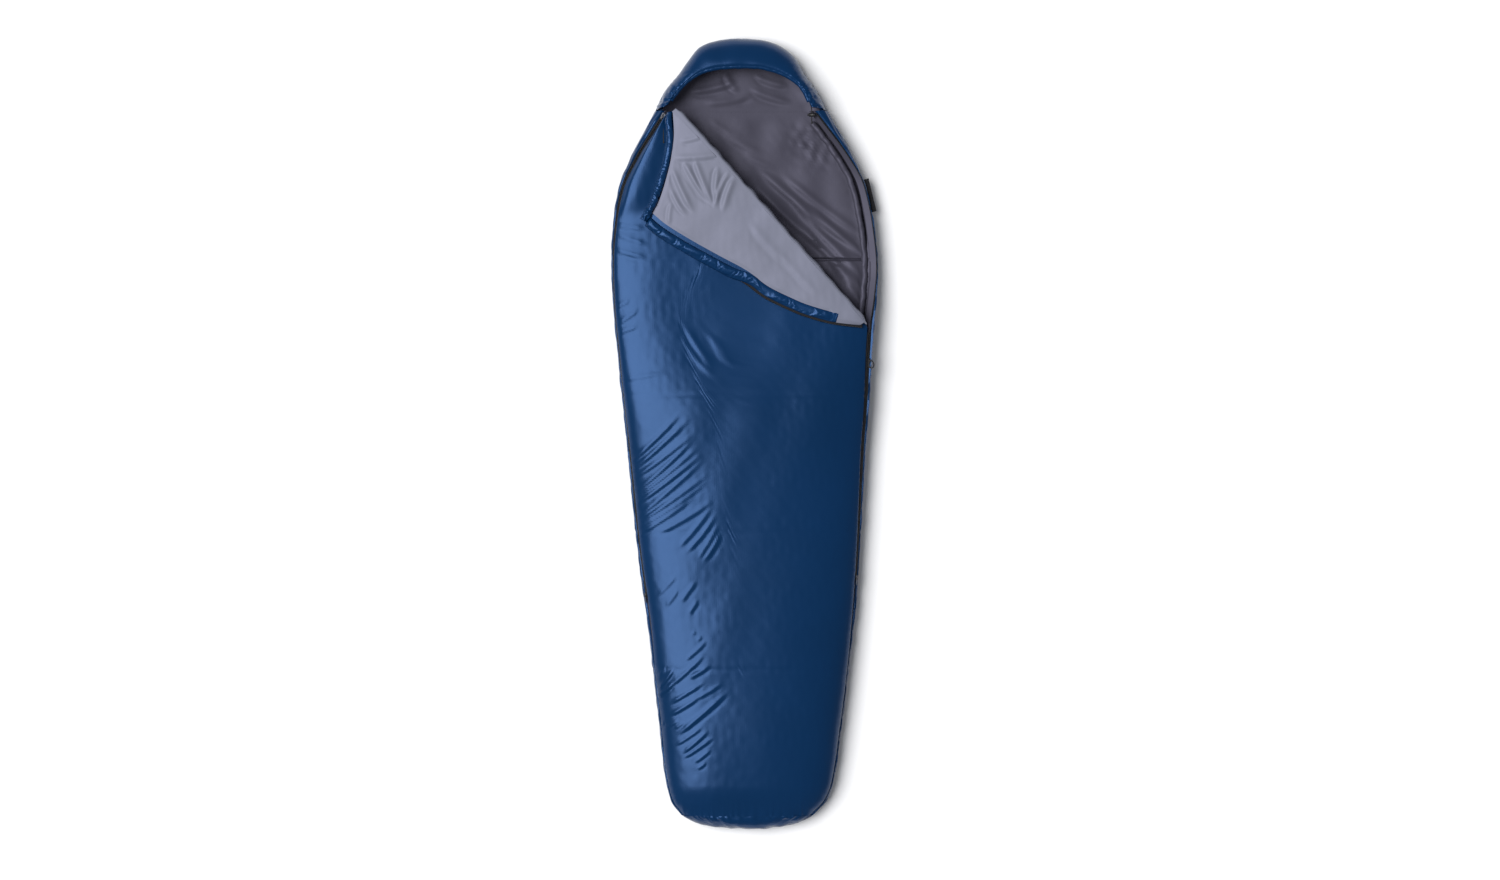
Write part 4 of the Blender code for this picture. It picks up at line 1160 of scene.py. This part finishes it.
def build_visor():
    """The hood's brim, gathered where the drawcord draws it in at both ends."""
    along, around = np.meshgrid(spaced(260), spaced(48))
    outer = visor_face(along, around, 0.0)
    inner = visor_face(along, around, HOOD_PAD)
    x, y = outer[..., 0], outer[..., 1]
    run = along * 0.62
    seam_away = around * 0.075
    edge_away = (1 - around) * 0.075
    ends = np.exp(-((along / 0.13) ** 2)) + np.exp(-(((1 - along) / 0.16) ** 2))
    height = gathers(run, edge_away, 0.0125, 0.026, 0.0020, 91) * (0.02 + ends)
    height += gathers(run, seam_away, 0.019, 0.014, 0.0003, 92)
    height += 0.0005 * ripple(x, y, 0.09, 93) * ease(seam_away / 0.01)
    height += ends * 0.0009 * ripple(x, y, 0.018, 94)
    rim = rounded_rim(edge_away, 0.0074)
    normal = outward(outer, inner)
    outer = outer + normal * (height - rim)[..., None]
    inner = inner + normal * rim[..., None]
    data = closed_between("visor_quilt", outer, inner)
    settle(data, on_rim(*outer.shape[:2]), 0.0020)
    replaced = ("visor_shell", "visor_insulation")
    quilt = add_piece("visor_quilt", data, "blue_nylon", "bag", *replaced)

    along, around = np.meshgrid(spaced(120), spaced(16))
    top = visor_face(along, around * 0.93, HOOD_PAD + GAP)
    under = visor_face(along, around * 0.93, HOOD_PAD + GAP + CLOTH)
    name = "visor_underside_lining"
    lining = add_panel(name, top, under, "grey_lining", "bag", "visor_lining")
    # painted shade: the visor's underside lining takes the darker copy of the lining cloth
    give_shaded_lining(lining)


# The folded-back corner


def flap_levels(along, out, set_in=CHANNEL):
    """Plan place, underside height and thickness of the flap's wadding."""
    place = flap_plan(along, out, set_in)
    return place, flap_underside(place), FLAP_WADDING * flap_taper(along, out)


def build_flap():
    along, out = np.meshgrid(spaced(200), spaced(90))
    place, low, thick = flap_levels(along, out)
    x, v = place[..., 0], place[..., 1]
    zip_away = (1 - out) * flap_depth(along)
    neck_away = along * 0.78
    rim = rounded_rim(np.minimum(zip_away, neck_away), 0.006)
    under = low + rim + np.clip(0.0006 + 0.0006 * ripple(x, v, 0.16, 101), 0, None)
    over = np.maximum(low + CLOTH + thick - rim, under + 0.0006)
    faces = world(x, v, under), world(x, v, over)
    replaced = ("flap_shell", "flap_insulation")
    quilt = add_panel("flap_quilt", *faces, "blue_nylon", "flap", *replaced)

    # the lining stops at the facing, and beyond the facing's end it reaches the zip
    beside_facing = ease((FACING_REACH - along) / 0.05)
    share = 1 - np.clip(FACING_WIDTH / flap_depth(along), 0, 0.45) * beside_facing
    place, low, thick = flap_levels(along, out * share)
    x, v = place[..., 0], place[..., 1]
    base = low + CLOTH + thick
    height = 0.0016 + 0.0005 * ripple(x, v, 0.11, 111) + 0.00008 * ripple(x, v, 0.03, 112)
    height += lining_folds(x, v, FLAP_LINING_FOLDS, 0.003)
    height = np.clip(height * ease(np.minimum(zip_away, neck_away) / 0.012), 0.0, 0.010)
    top = world(x, v, base + GAP + CLOTH + height)
    bottom = world(x, v, base + GAP + height * 0.6)
    lining = add_panel("flap_panel_lining", top, bottom, "grey_lining", "flap", "flap_lining")


def build_facing():
    """The blue strip that rolls over beside the zip, fuller at its wide end."""
    along, out = np.meshgrid(spaced(230), spaced(22))
    along = along * FACING_REACH
    width = np.clip(FACING_WIDTH / flap_depth(along), 0, 0.45) * ease((0.95 - along) / 0.05)
    cover = ease((0.52 - along) / 0.12)  # 1 where the strip rolls over the zip's tape
    set_in = CHANNEL - 0.0125 * cover
    place, low, thick = flap_levels(along, mix(1 - width, 1.0, out), set_in)
    x, v = place[..., 0], place[..., 1]
    full = mix(0.0042, 0.0085, ease((0.7 - along) / 0.5))
    arch = np.sqrt(np.clip(1 - (2 * out - 1) ** 2, 0, 1))
    run = along * 0.72
    uneven = np.clip(ripple(run, out * 0, 0.06, 123) - 0.2, 0, 1.2)
    pucker = 0.0007 * ripple(run, out * 0.02, 0.011, 122) * uneven * arch * cover
    base = low + CLOTH + np.minimum(thick, mix(thick, 0.004, cover * out))
    ends = ease(along / 0.012) * ease((FACING_REACH - along) / 0.006)
    top = world(x, v, base + (full * arch + pucker) * ends + 0.0012)
    bottom = world(x, v, base - 0.0006 - 0.004 * cover * out)
    data = closed_between("flap_zip_facing", top, bottom)
    settle(data, on_rim(*top.shape[:2]), 0.0015, 0.03)
    facing = add_piece("flap_zip_facing", data, "blue_nylon", "flap", "flap_facing")


def build_hem():
    """The soft roll that hems the flap's neck edge, gathered towards its lower end."""
    share = np.linspace(0.005, 0.985, 150)
    here = flap_neck_edge(share)
    ahead = unit(flap_neck_edge(share + 0.015) - flap_neck_edge(share - 0.015))
    outside = np.stack([ahead[:, 1], -ahead[:, 0]], axis=1)
    radius = HEM_RADIUS * (1 - 0.25 * (1 - ease(share / 0.08)))
    place = here + outside * (radius[:, None] + 0.0008)
    height = crown_height(place[:, 0], place[:, 1]) + FLAP_LIFT + HEM_RADIUS * 0.95
    route = world(place[:, 0], place[:, 1], height)
    share, radius = share[:, None], radius[:, None]
    run, turn = share * 0.33, turns(28)
    puff = radius * (
        1
        + 0.05 * ripple(run, turn * 0.010, 0.05, 131)
        + 0.07 * ease((share - 0.35) / 0.5) * ripple(run, turn * 0.008, 0.013, 132)
        + 0.12 * np.exp(-(((share - 0.96) / 0.06) ** 2)) * np.sin(5 * turn)
    )
    past_end = np.clip(np.abs(share - 0.5) * 2 - 0.97, 0, 1) / 0.03
    puff = puff * np.sqrt(np.clip(1 - past_end**2, 0.05, 1))
    data = tube_mesh("neck_hem_roll", puffed(route, puff, squash=0.92))
    held = np.zeros(puff.shape, bool)
    held[[0, -1], :] = True
    held[:, -4:] = True
    settle(data, np.append(held.ravel(), [True, True]), 0.0020, 0.06)
    hem = add_piece("neck_hem_roll", data, "blue_nylon", "flap", "flap_neck_hem")


def build_fold_roll():
    """The lining where it turns over the fold, between the bag and the flap; it is left on neither
    body.
    """
    share = np.linspace(0.0, 0.985, 120)[:, None]
    turn = np.linspace(-math.pi / 2, math.pi / 2, 18)[None, :]
    line = mix(np.array(FOLD_START), np.array(FOLD_END), share)
    crown_here = crown_height(line[:, 0], line[:, 1])[:, None]
    low = crown_here - FRONT_PAD - 0.0012
    along = share / FOLD_REACH
    wadding = FLAP_WADDING * flap_taper(np.clip(along, 0, 1), np.zeros_like(along))
    high = crown_here + FLAP_LIFT + CLOTH + wadding + 0.0026
    middle, tall = (low + high) / 2, (high - low) / 2
    wide = 0.0085 * ease(share / 0.03) * ease((1 - share) / 0.05) + 0.0008
    wide = wide * (1 + 0.12 * ripple(share * 0.77, share * 0, 0.06, 141))

    # round the fold, then a lip that lies on the flap's lining
    lip = -FOLD_LIP * np.linspace(0.2, 1, 5)[None, :] * ease((1 - share) / 0.1)
    reach = np.hstack([wide * np.cos(turn) ** 0.8, lip])
    z = np.hstack([middle + tall * np.sin(turn), np.broadcast_to(high, lip.shape)])
    drop = np.hstack([0.04 * tall * np.sin(turn), np.full(lip.shape, 0.0008)])
    inner_reach = reach - np.where(reach > 0, 0.0006, 0.0)
    fold = unit(np.array(FOLD_END - FOLD_START))
    outer = world(line[:, :1] - fold[1] * reach, line[:, 1:] + fold[0] * reach, z)
    inner = world(
        line[:, :1] - fold[1] * inner_reach, line[:, 1:] + fold[0] * inner_reach, z - drop
    )
    roll = add_panel("fold_lining", outer, inner, "grey_lining", None)
    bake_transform(roll)


# The zips


def chain_route(side, turn, low, high, spacing=0.0004):
    stations = np.linspace(low, high, 400)
    middle = seam_point(side, stations, turn * COIL_OFFSET, COIL_DEPTH)
    return evenly(middle, spacing)


def coil_mesh(name, route):
    """A zip coil: a bead for each turn of the coil, 1.6 mm apart, on a thinner core."""
    pattern = np.array([0.62, 1.0, 1.0, 0.62])
    radius = COIL_RADIUS * 1.06 * np.resize(pattern, len(route))
    return tube_mesh(name, tube_points(route, radius, 6))


def tape_mesh(name, edge_a, edge_b, thickness=0.0007):
    """A flat woven tape between two edges."""
    share = np.linspace(0, 1, 5)[None, :, None]
    top = mix(edge_a[:, None], edge_b[:, None], share)
    along = np.gradient(top, axis=0)
    across = np.gradient(top, axis=1)
    normal = unit(np.cross(across, along))
    normal = normal * np.sign(normal[..., 2:].mean())
    return closed_between(name, top + normal * thickness / 2, top - normal * thickness / 2)


def build_chain(name, side, turn, low, high):
    coil = coil_mesh(f"{name}_teeth", chain_route(side, turn, low, high))
    add_piece(f"{name}_teeth", coil, "zip_coil", "bag", f"{name}_coil")
    stations = np.linspace(low, high, 260)
    near = seam_point(side, stations, turn * TAPE_INNER, COIL_DEPTH + 0.0002)
    far = seam_point(side, stations, turn * TAPE_OUTER, COIL_DEPTH + 0.0012)
    tape = tape_mesh(f"{name}_woven_tape", near, far)
    add_piece(f"{name}_woven_tape", tape, "zip_tape", "bag", f"{name}_tape")


def build_flap_chain():
    share = np.linspace(0.03, 0.985, 400)
    here, inward = flap_edge(share)

    def line(inset, level):
        place = here + inward * inset
        return world(place[:, 0], place[:, 1], flap_underside(place) + level)

    coil = coil_mesh("flap_zip_teeth", evenly(line(COIL_OFFSET, 0.0032), 0.0004))
    add_piece("flap_zip_teeth", coil, "zip_coil", "flap", "flap_zip_coil")
    tape = tape_mesh("flap_zip_woven_tape", line(TAPE_INNER, 0.0032), line(TAPE_OUTER, 0.0036))
    add_piece("flap_zip_woven_tape", tape, "zip_tape", "flap", "flap_zip_tape")


def build_draft_tube(side, seed):
    """The soft tube behind a zip, sewn in along its outer edge and lightly gathered."""
    spacing = 0.0045
    stations = np.linspace(ZIP_BOTTOM[side], ZIP_TOP - 0.02, 420)
    route = evenly(seam_point(side, stations, -0.004, 0.0345), spacing)
    run, turn = (np.arange(len(route)) * spacing)[:, None], turns(20)
    puff = DRAFT_RADIUS * (
        1
        + 0.06 * ripple(run, turn * 0.009, 0.045, seed)
        + 0.05 * ripple(run, turn * 0.005, 0.016, seed + 10)
    )
    ends = np.minimum(np.minimum(run, run.max() - run) / 0.012, 1)
    puff = puff * np.sqrt(1 - (1 - ends) ** 2 + 0.02)
    name = f"{side}_draft_roll"
    data = tube_mesh(name, puffed(route, puff))
    roll = add_piece(name, data, "grey_lining", "bag", f"{side}_draft_tube")
    # painted shade: the draft tube takes the darker copy of the lining cloth
    give_shaded_lining(roll)


# Sliders, cords and trims


def joint_axis(name):
    return next(joint for joint in frame["joints"] if joint["name"] == name)


def slider_frame(name):
    """Local X across the zip, Y along it, Z out of the bag, at the middle of the slider."""
    swing = joint_axis(f"{name}_pull_swing")
    along = Vector(joint_axis(f"{name}_slider_run")["axis"]).normalized()
    across = -Vector(swing["axis"]).normalized()
    out = across.cross(along).normalized()
    pivot = Vector(swing["pos_m"])
    middle = pivot - out * PULL_HEIGHT
    turn = Matrix((across, along, out)).transposed().to_4x4()
    return Matrix.Translation(middle) @ turn


def plate(shape, outline, low, high):
    """A flat plate with a plan outline, between two heights."""
    face = shape.faces.new([shape.verts.new((x, y, low)) for x, y in outline])
    drawn = bmesh.ops.extrude_face_region(shape, geom=[face])["geom"]
    verts = [v for v in drawn if isinstance(v, bmesh.types.BMVert)]
    bmesh.ops.translate(shape, verts=verts, vec=(0, 0, high - low))


def finished(shape, name, matrix, weld=0.0):
    if weld:
        bmesh.ops.remove_doubles(shape, verts=list(shape.verts), dist=weld)
    bmesh.ops.recalc_face_normals(shape, faces=list(shape.faces))
    data = bpy.data.meshes.new(name)
    shape.to_mesh(data)
    shape.free()
    data.transform(matrix)
    data.shade_smooth()
    data.set_sharp_from_angle(angle=math.radians(35))
    return data


SLIDER_OUTLINE = [
    (-0.0030, -0.0060), (0.0030, -0.0060), (0.0040, -0.0052), (0.0044, -0.0030),
    (0.0052, 0.0020), (0.0052, 0.0046), (0.0040, 0.0060), (0.0012, 0.0056),
    (-0.0012, 0.0056), (-0.0040, 0.0060), (-0.0052, 0.0046), (-0.0052, 0.0020),
    (-0.0044, -0.0030), (-0.0040, -0.0052),
]
SLIDER_WEDGE = [(-0.0004, 0.001), (0.0004, 0.001), (0.0009, 0.0055), (-0.0009, 0.0055)]


def build_slider(name, pull_length):
    """A zip slider: two shaped plates, a wedge between them, a bridge and a pull."""
    matrix = slider_frame(name)
    shape = bmesh.new()
    plate(shape, SLIDER_OUTLINE, -0.0028, -0.0016)
    plate(shape, SLIDER_OUTLINE, 0.0016, 0.0028)
    plate(shape, SLIDER_WEDGE, -0.0018, 0.0018)
    bmesh.ops.bevel(shape, geom=list(shape.edges), offset=0.0002, segments=2, affect="EDGES")
    slider = f"{name}_slider"
    casting = finished(shape, f"{slider}_casting", matrix)
    add_piece(f"{slider}_casting", casting, "dark_metal", slider, f"{slider}_body")
    turn = np.linspace(0, math.pi, 15)
    rise = 0.0031 + mix(0.0002, 0.0030, np.sin(turn) ** 0.6)
    arch = np.stack([np.zeros(15), -0.0038 * np.cos(turn), rise], axis=1)
    bridge = tube_mesh(f"{slider}_arch", tube_points(arch, 0.0006, 8, up=(1, 0, 0)))
    bridge.transform(matrix)
    add_piece(f"{slider}_arch", bridge, "dark_metal", slider, f"{slider}_bridge")
    build_pull(name, matrix @ Matrix.Translation((0, 0, PULL_HEIGHT)), pull_length)


def build_pull(name, matrix, length):
    """A stamped pull: a slot round the bridge, and a rounded tab with a hole at its end."""
    half, thick = 0.0027, 0.00045
    outline = [(half, 0.0005), (-half, 0.0005)]
    centre = half - length
    for i in range(13):
        turn = math.pi * (1 + i / 12)
        outline.append((half * math.cos(turn), centre + half * math.sin(turn)))
    shape = bmesh.new()
    plate(shape, outline, -thick, thick)
    tab = bpy.data.objects.new("tab", finished(shape, "tab", Matrix.Identity(4)))
    bpy.context.scene.collection.objects.link(tab)
    cutters = []
    for y, size in ((-0.0030, (0.0024, 0.0048)), (centre, (0.0024, 0.0024))):
        cutter_shape = bmesh.new()
        bmesh.ops.create_cone(
            cutter_shape, cap_ends=True, segments=20, radius1=0.5, radius2=0.5, depth=0.01
        )
        cutter_data = bpy.data.meshes.new("cutter")
        cutter_shape.to_mesh(cutter_data)
        cutter_shape.free()
        cutter_data.transform(Matrix.Translation((0, y, 0)) @ Matrix.Diagonal((*size, 1, 1)))
        cutter = bpy.data.objects.new("cutter", cutter_data)
        bpy.context.scene.collection.objects.link(cutter)
        cut = tab.modifiers.new("hole", "BOOLEAN")
        cut.operation, cut.object = "DIFFERENCE", cutter
        cutters.append(cutter)
    edges = tab.modifiers.new("edges", "BEVEL")
    edges.width, edges.segments, edges.limit_method = 0.00018, 2, "ANGLE"
    shaped = tab.evaluated_get(bpy.context.evaluated_depsgraph_get())
    applied = bpy.data.meshes.new_from_object(shaped)
    for spare in (*cutters, tab):
        bpy.data.objects.remove(spare, do_unlink=True)
    applied.transform(matrix)
    applied.shade_smooth()
    applied.set_sharp_from_angle(angle=math.radians(35))
    piece_name = f"{name}_pull_tab"
    add_piece(piece_name, applied, "dark_metal", f"{name}_pull", f"{name}_slider_pull")


def cord_curve(name, points, radius, slot, body, *replaced):
    curve = bpy.data.curves.new(name, "CURVE")
    curve.dimensions = "3D"
    curve.bevel_depth = radius
    curve.bevel_resolution = 3
    curve.use_fill_caps = True
    spline = curve.splines.new("POLY")
    spline.points.add(len(points) - 1)
    for target, point in zip(spline.points, points):
        target.co = (*point, 1.0)
    return add_piece(name, curve, slot, body, *replaced)


def knot_mesh(name, radius, place):
    """A small overhand knot, as a rounded lump a little longer than it is wide."""
    shape = bmesh.new()
    bmesh.ops.create_uvsphere(shape, u_segments=14, v_segments=9, radius=radius)
    return finished(shape, name, place)


def walked(route):
    return round(float(np.linalg.norm(np.diff(route, axis=0), axis=1).sum()), 3)


def build_pull_cord():
    """The thin cord from the left top pull, lying down the front, with a knot at its end."""
    radius = 0.0013
    across = np.array([-0.2195, -0.2172, -0.2160, -0.2158, -0.2156, -0.2154])
    stations = np.array([1.881, 1.872, 1.860, 1.845, 1.832, 1.820])
    heights = crown_height(across, stations) + radius + 0.0012
    route = path_through(world(across, stations, heights))(np.linspace(0, 1, 22))
    name, body = "left_pull_cord", "left_top_pull"
    cord = cord_curve(name, route, radius, "black_cord", body, "left_top_pull_cord")
    end = Matrix.Translation(Vector(route[-1]) + Vector((0, 0.0008, 0.0003)))
    data = knot_mesh("left_pull_cord_knot", 0.0021, end @ Matrix.Diagonal((1, 1.35, 0.85, 1)))
    knot = add_piece("left_pull_cord_knot", data, "black_cord", body)


def build_pull_loop():
    """The ring of cord through the right top pull, lying flat over the side of the bag."""
    radius, eye = 0.0017, -0.0105
    matrix = slider_frame("right_top") @ Matrix.Translation((0, 0, PULL_HEIGHT))
    turn = np.linspace(0.0, 2 * math.pi, 48)
    across = 0.0078 * (1 - np.cos(turn))
    along = eye - 0.0010 * (1 - np.cos(turn)) + 0.0098 * np.sin(turn)
    out = 0.0012 + 0.0010 * (1 - np.cos(turn))
    route = np.array([matrix @ Vector(place) for place in zip(across, along, out)])
    name, body = "right_pull_loop", "right_top_pull"
    loop = cord_curve(name, route, radius, "black_cord", body, "right_top_pull_loop")


def build_drawcord():
    """The hood's drawcord in its puckered tunnel, with its end through the cord lock."""
    spacing = 0.0035
    share = np.linspace(0.03, 0.965, 120)
    outer, inner = hood_outline(share), hood_opening(share)
    place = inner - unit(inner - outer) * 0.0010
    height = SIDE_HEIGHT + visor_height(share) - 0.0077
    middle = world(place[:, 0], place[:, 1], height)
    route = evenly(middle, spacing)
    run, turn = (np.arange(len(route)) * spacing)[:, None], turns(14)
    puff = TUNNEL_RADIUS * (
        1
        + 0.03 * ripple(run, turn * 0.005, 0.012, 161)
        + 0.03 * ripple(run, turn * 0.005, 0.03, 162)
    )
    name = "hood_cord_channel"
    tunnel = tube_mesh(name, puffed(route, puff))
    add_piece(name, tunnel, "blue_nylon", "bag", "hood_drawcord_tunnel")

    lock = Vector(world(*LOCK_PLACE))
    steps = (0.0, 0.012, 0.001), (0.0, 0.0, 0.0), (0.0, -0.012, -0.001), (0.001, -0.021, -0.004)
    points = [tuple(p) for p in middle[:-4:3]] + [tuple(lock + Vector(step)) for step in steps]
    route = path_through(points)(np.linspace(0, 1, 150))
    cord_curve("hood_draw_cord", route, 0.0015, "black_cord", "bag", "hood_drawcord")
    end = Matrix.Translation(Vector(route[-1])) @ Matrix.Diagonal((1, 1.3, 0.9, 1))
    add_piece("hood_cord_knot", knot_mesh("hood_cord_knot", 0.0026, end), "black_cord", "bag")


BARREL_PROFILE = [
    (0.0, -0.0085), (0.0046, -0.0085), (0.0051, -0.0080), (0.0051, -0.0062),
    (0.0047, -0.0056), (0.0051, -0.0050), (0.0051, -0.0034), (0.0047, -0.0028),
    (0.0051, -0.0022), (0.0051, 0.0070), (0.0046, 0.0085), (0.0, 0.0085),
]
BUTTON_PROFILE = [
    (0.0, -0.0127), (0.0026, -0.0127), (0.0031, -0.0122), (0.0031, -0.0087), (0.0, -0.0087),
]


def turned(name, profile, matrix):
    """A shape turned about its own Z axis from a profile of (radius, height)."""
    shape = bmesh.new()
    verts = [shape.verts.new((radius, 0, height)) for radius, height in profile]
    edges = [shape.edges.new(pair) for pair in zip(verts, verts[1:])]
    bmesh.ops.spin(
        shape, geom=verts + edges, cent=(0, 0, 0), axis=(0, 0, 1), angle=2 * math.pi, steps=24
    )
    return finished(shape, name, matrix, weld=0.00005)


def build_cord_lock():
    """A moulded barrel with finger ribs, and its spring button."""
    lengthwise = Matrix.Rotation(math.pi / 2, 4, "Y")
    place = Matrix.Translation(Vector(world(*LOCK_PLACE)) + Vector((0.0015, 0, 0))) @ lengthwise
    barrel = turned("cord_lock_barrel", BARREL_PROFILE, place)
    add_piece("cord_lock_barrel", barrel, "black_plastic", "bag", "cord_lock_body")
    cap = turned("cord_lock_cap", BUTTON_PROFILE, place)
    add_piece("cord_lock_cap", cap, "black_plastic", "cord_lock_button", "cord_lock_button")
    spring = frame["nodes"]["cord_lock_spring"]
    spring.data.materials.clear()
    spring.data.materials.append(FINISH["spring_steel"])


def build_hang_tab():
    """A folded loop of webbing sewn to the right seam, its ends stitched flat."""
    station, width, length, thick = 1.682, 0.0165, 0.090, 0.0018

    def edge(v):
        return Vector((float(centre_line(v) + half_width(v)), v))

    ahead = (edge(station + 0.03) - edge(station - 0.03)).normalized()
    side = Vector((ahead.y, -ahead.x))
    middle = edge(station) + side * 0.0025
    run, across = np.meshgrid(np.linspace(-0.5, 0.5, 60), np.linspace(-0.5, 0.5, 14))
    x = middle.x + ahead.x * run * length + side.x * across * width
    v = middle.y + ahead.y * run * length + side.y * across * width
    bow = 0.0016 * (1 - (2 * run) ** 2) + 0.0002 * np.sin(run * 300)
    rise = SIDE_HEIGHT + 0.003 + bow + 0.0011 * (1 - (2 * across) ** 2)
    faces = world(x, v, rise + thick), world(x, v, rise)
    add_panel("side_hang_tab", *faces, "black_webbing", "bag", "hang_tab")


# The studio


# A wide soft light, a little to the left of overhead, and a dim even fill
KEY_DIRECTION = Vector((-0.50, 0.07, 0.86))
KEY_STRENGTH = 3.6
KEY_ANGLE = 44.0
FILL_STRENGTH = 0.28
# The camera looks straight down on the middle of the bag
LENS_MM = 100.0
SENSOR_MM = 36.0
VIEW_WIDTH = 3.982
VIEW_MIDDLE = (0.01327, -0.01724, 0.05)


def build_floor():
    shape = bmesh.new()
    bmesh.ops.create_grid(shape, x_segments=2, y_segments=2, size=12.0)
    data = bpy.data.meshes.new("studio_floor")
    shape.to_mesh(data)
    shape.free()
    floor = bpy.data.objects.new("studio_floor", data)
    floor.location.z = -0.0002
    bpy.context.scene.collection.objects.link(floor)
    # matt seamless paper, white
    paper, shader = new_finish("white_paper", Roughness=0.9, Specular_IOR_Level=0.1)
    shader.inputs["Base Color"].default_value = (*hex_colour("#F4F4F5"), 1.0)
    data.materials.append(paper)


def build_lights():
    fill = bpy.data.worlds.new("studio_fill")
    fill.use_nodes = True
    background = fill.node_tree.nodes["Background"]
    background.inputs["Color"].default_value = (*hex_colour("#F2F4F8"), 1.0)
    background.inputs["Strength"].default_value = FILL_STRENGTH
    bpy.context.scene.world = fill
    lamp = bpy.data.lights.new("key_light", "SUN")
    lamp.energy = KEY_STRENGTH
    lamp.angle = math.radians(KEY_ANGLE)
    key = bpy.data.objects.new("key_light", lamp)
    key.rotation_mode = "QUATERNION"
    key.rotation_quaternion = (-KEY_DIRECTION).to_track_quat("-Z", "Y")
    bpy.context.scene.collection.objects.link(key)


def build_camera():
    data = bpy.data.cameras.new("camera")
    data.lens, data.sensor_width = LENS_MM, SENSOR_MM
    data.clip_end = 60.0
    camera = bpy.data.objects.new("camera", data)
    camera.location = Vector(VIEW_MIDDLE) + Vector((0, 0, VIEW_WIDTH * LENS_MM / SENSOR_MM))
    bpy.context.scene.collection.objects.link(camera)
    bpy.context.scene.camera = camera
    bpy.context.scene.view_settings.view_transform = "Standard"


build_floor()
build_lights()
build_camera()
build_front()
build_back()
build_footbox()
build_hood_back()
build_visor()
build_flap()
build_facing()
build_hem()
build_fold_roll()
for side, turn, name, low, high in (
    ("left", 1, "left_zip_front", ZIP_BOTTOM["left"], ZIP_TOP),
    ("left", -1, "left_zip_back", ZIP_BOTTOM["left"], ZIP_TOP),
    ("right", 1, "right_zip_front", ZIP_BOTTOM["right"], RIGHT_ZIP_OPENS),
    ("right", -1, "right_zip_back", ZIP_BOTTOM["right"], ZIP_TOP),
):
    build_chain(name, side, turn, low, high)
build_flap_chain()
build_draft_tube("left", 151)
build_draft_tube("right", 152)
for side in ("left", "right"):
    build_slider(f"{side}_top", 0.012)
    build_slider(f"{side}_bottom", 0.020)
build_pull_cord()
build_pull_loop()
build_drawcord()
build_cord_lock()
build_hang_tab()
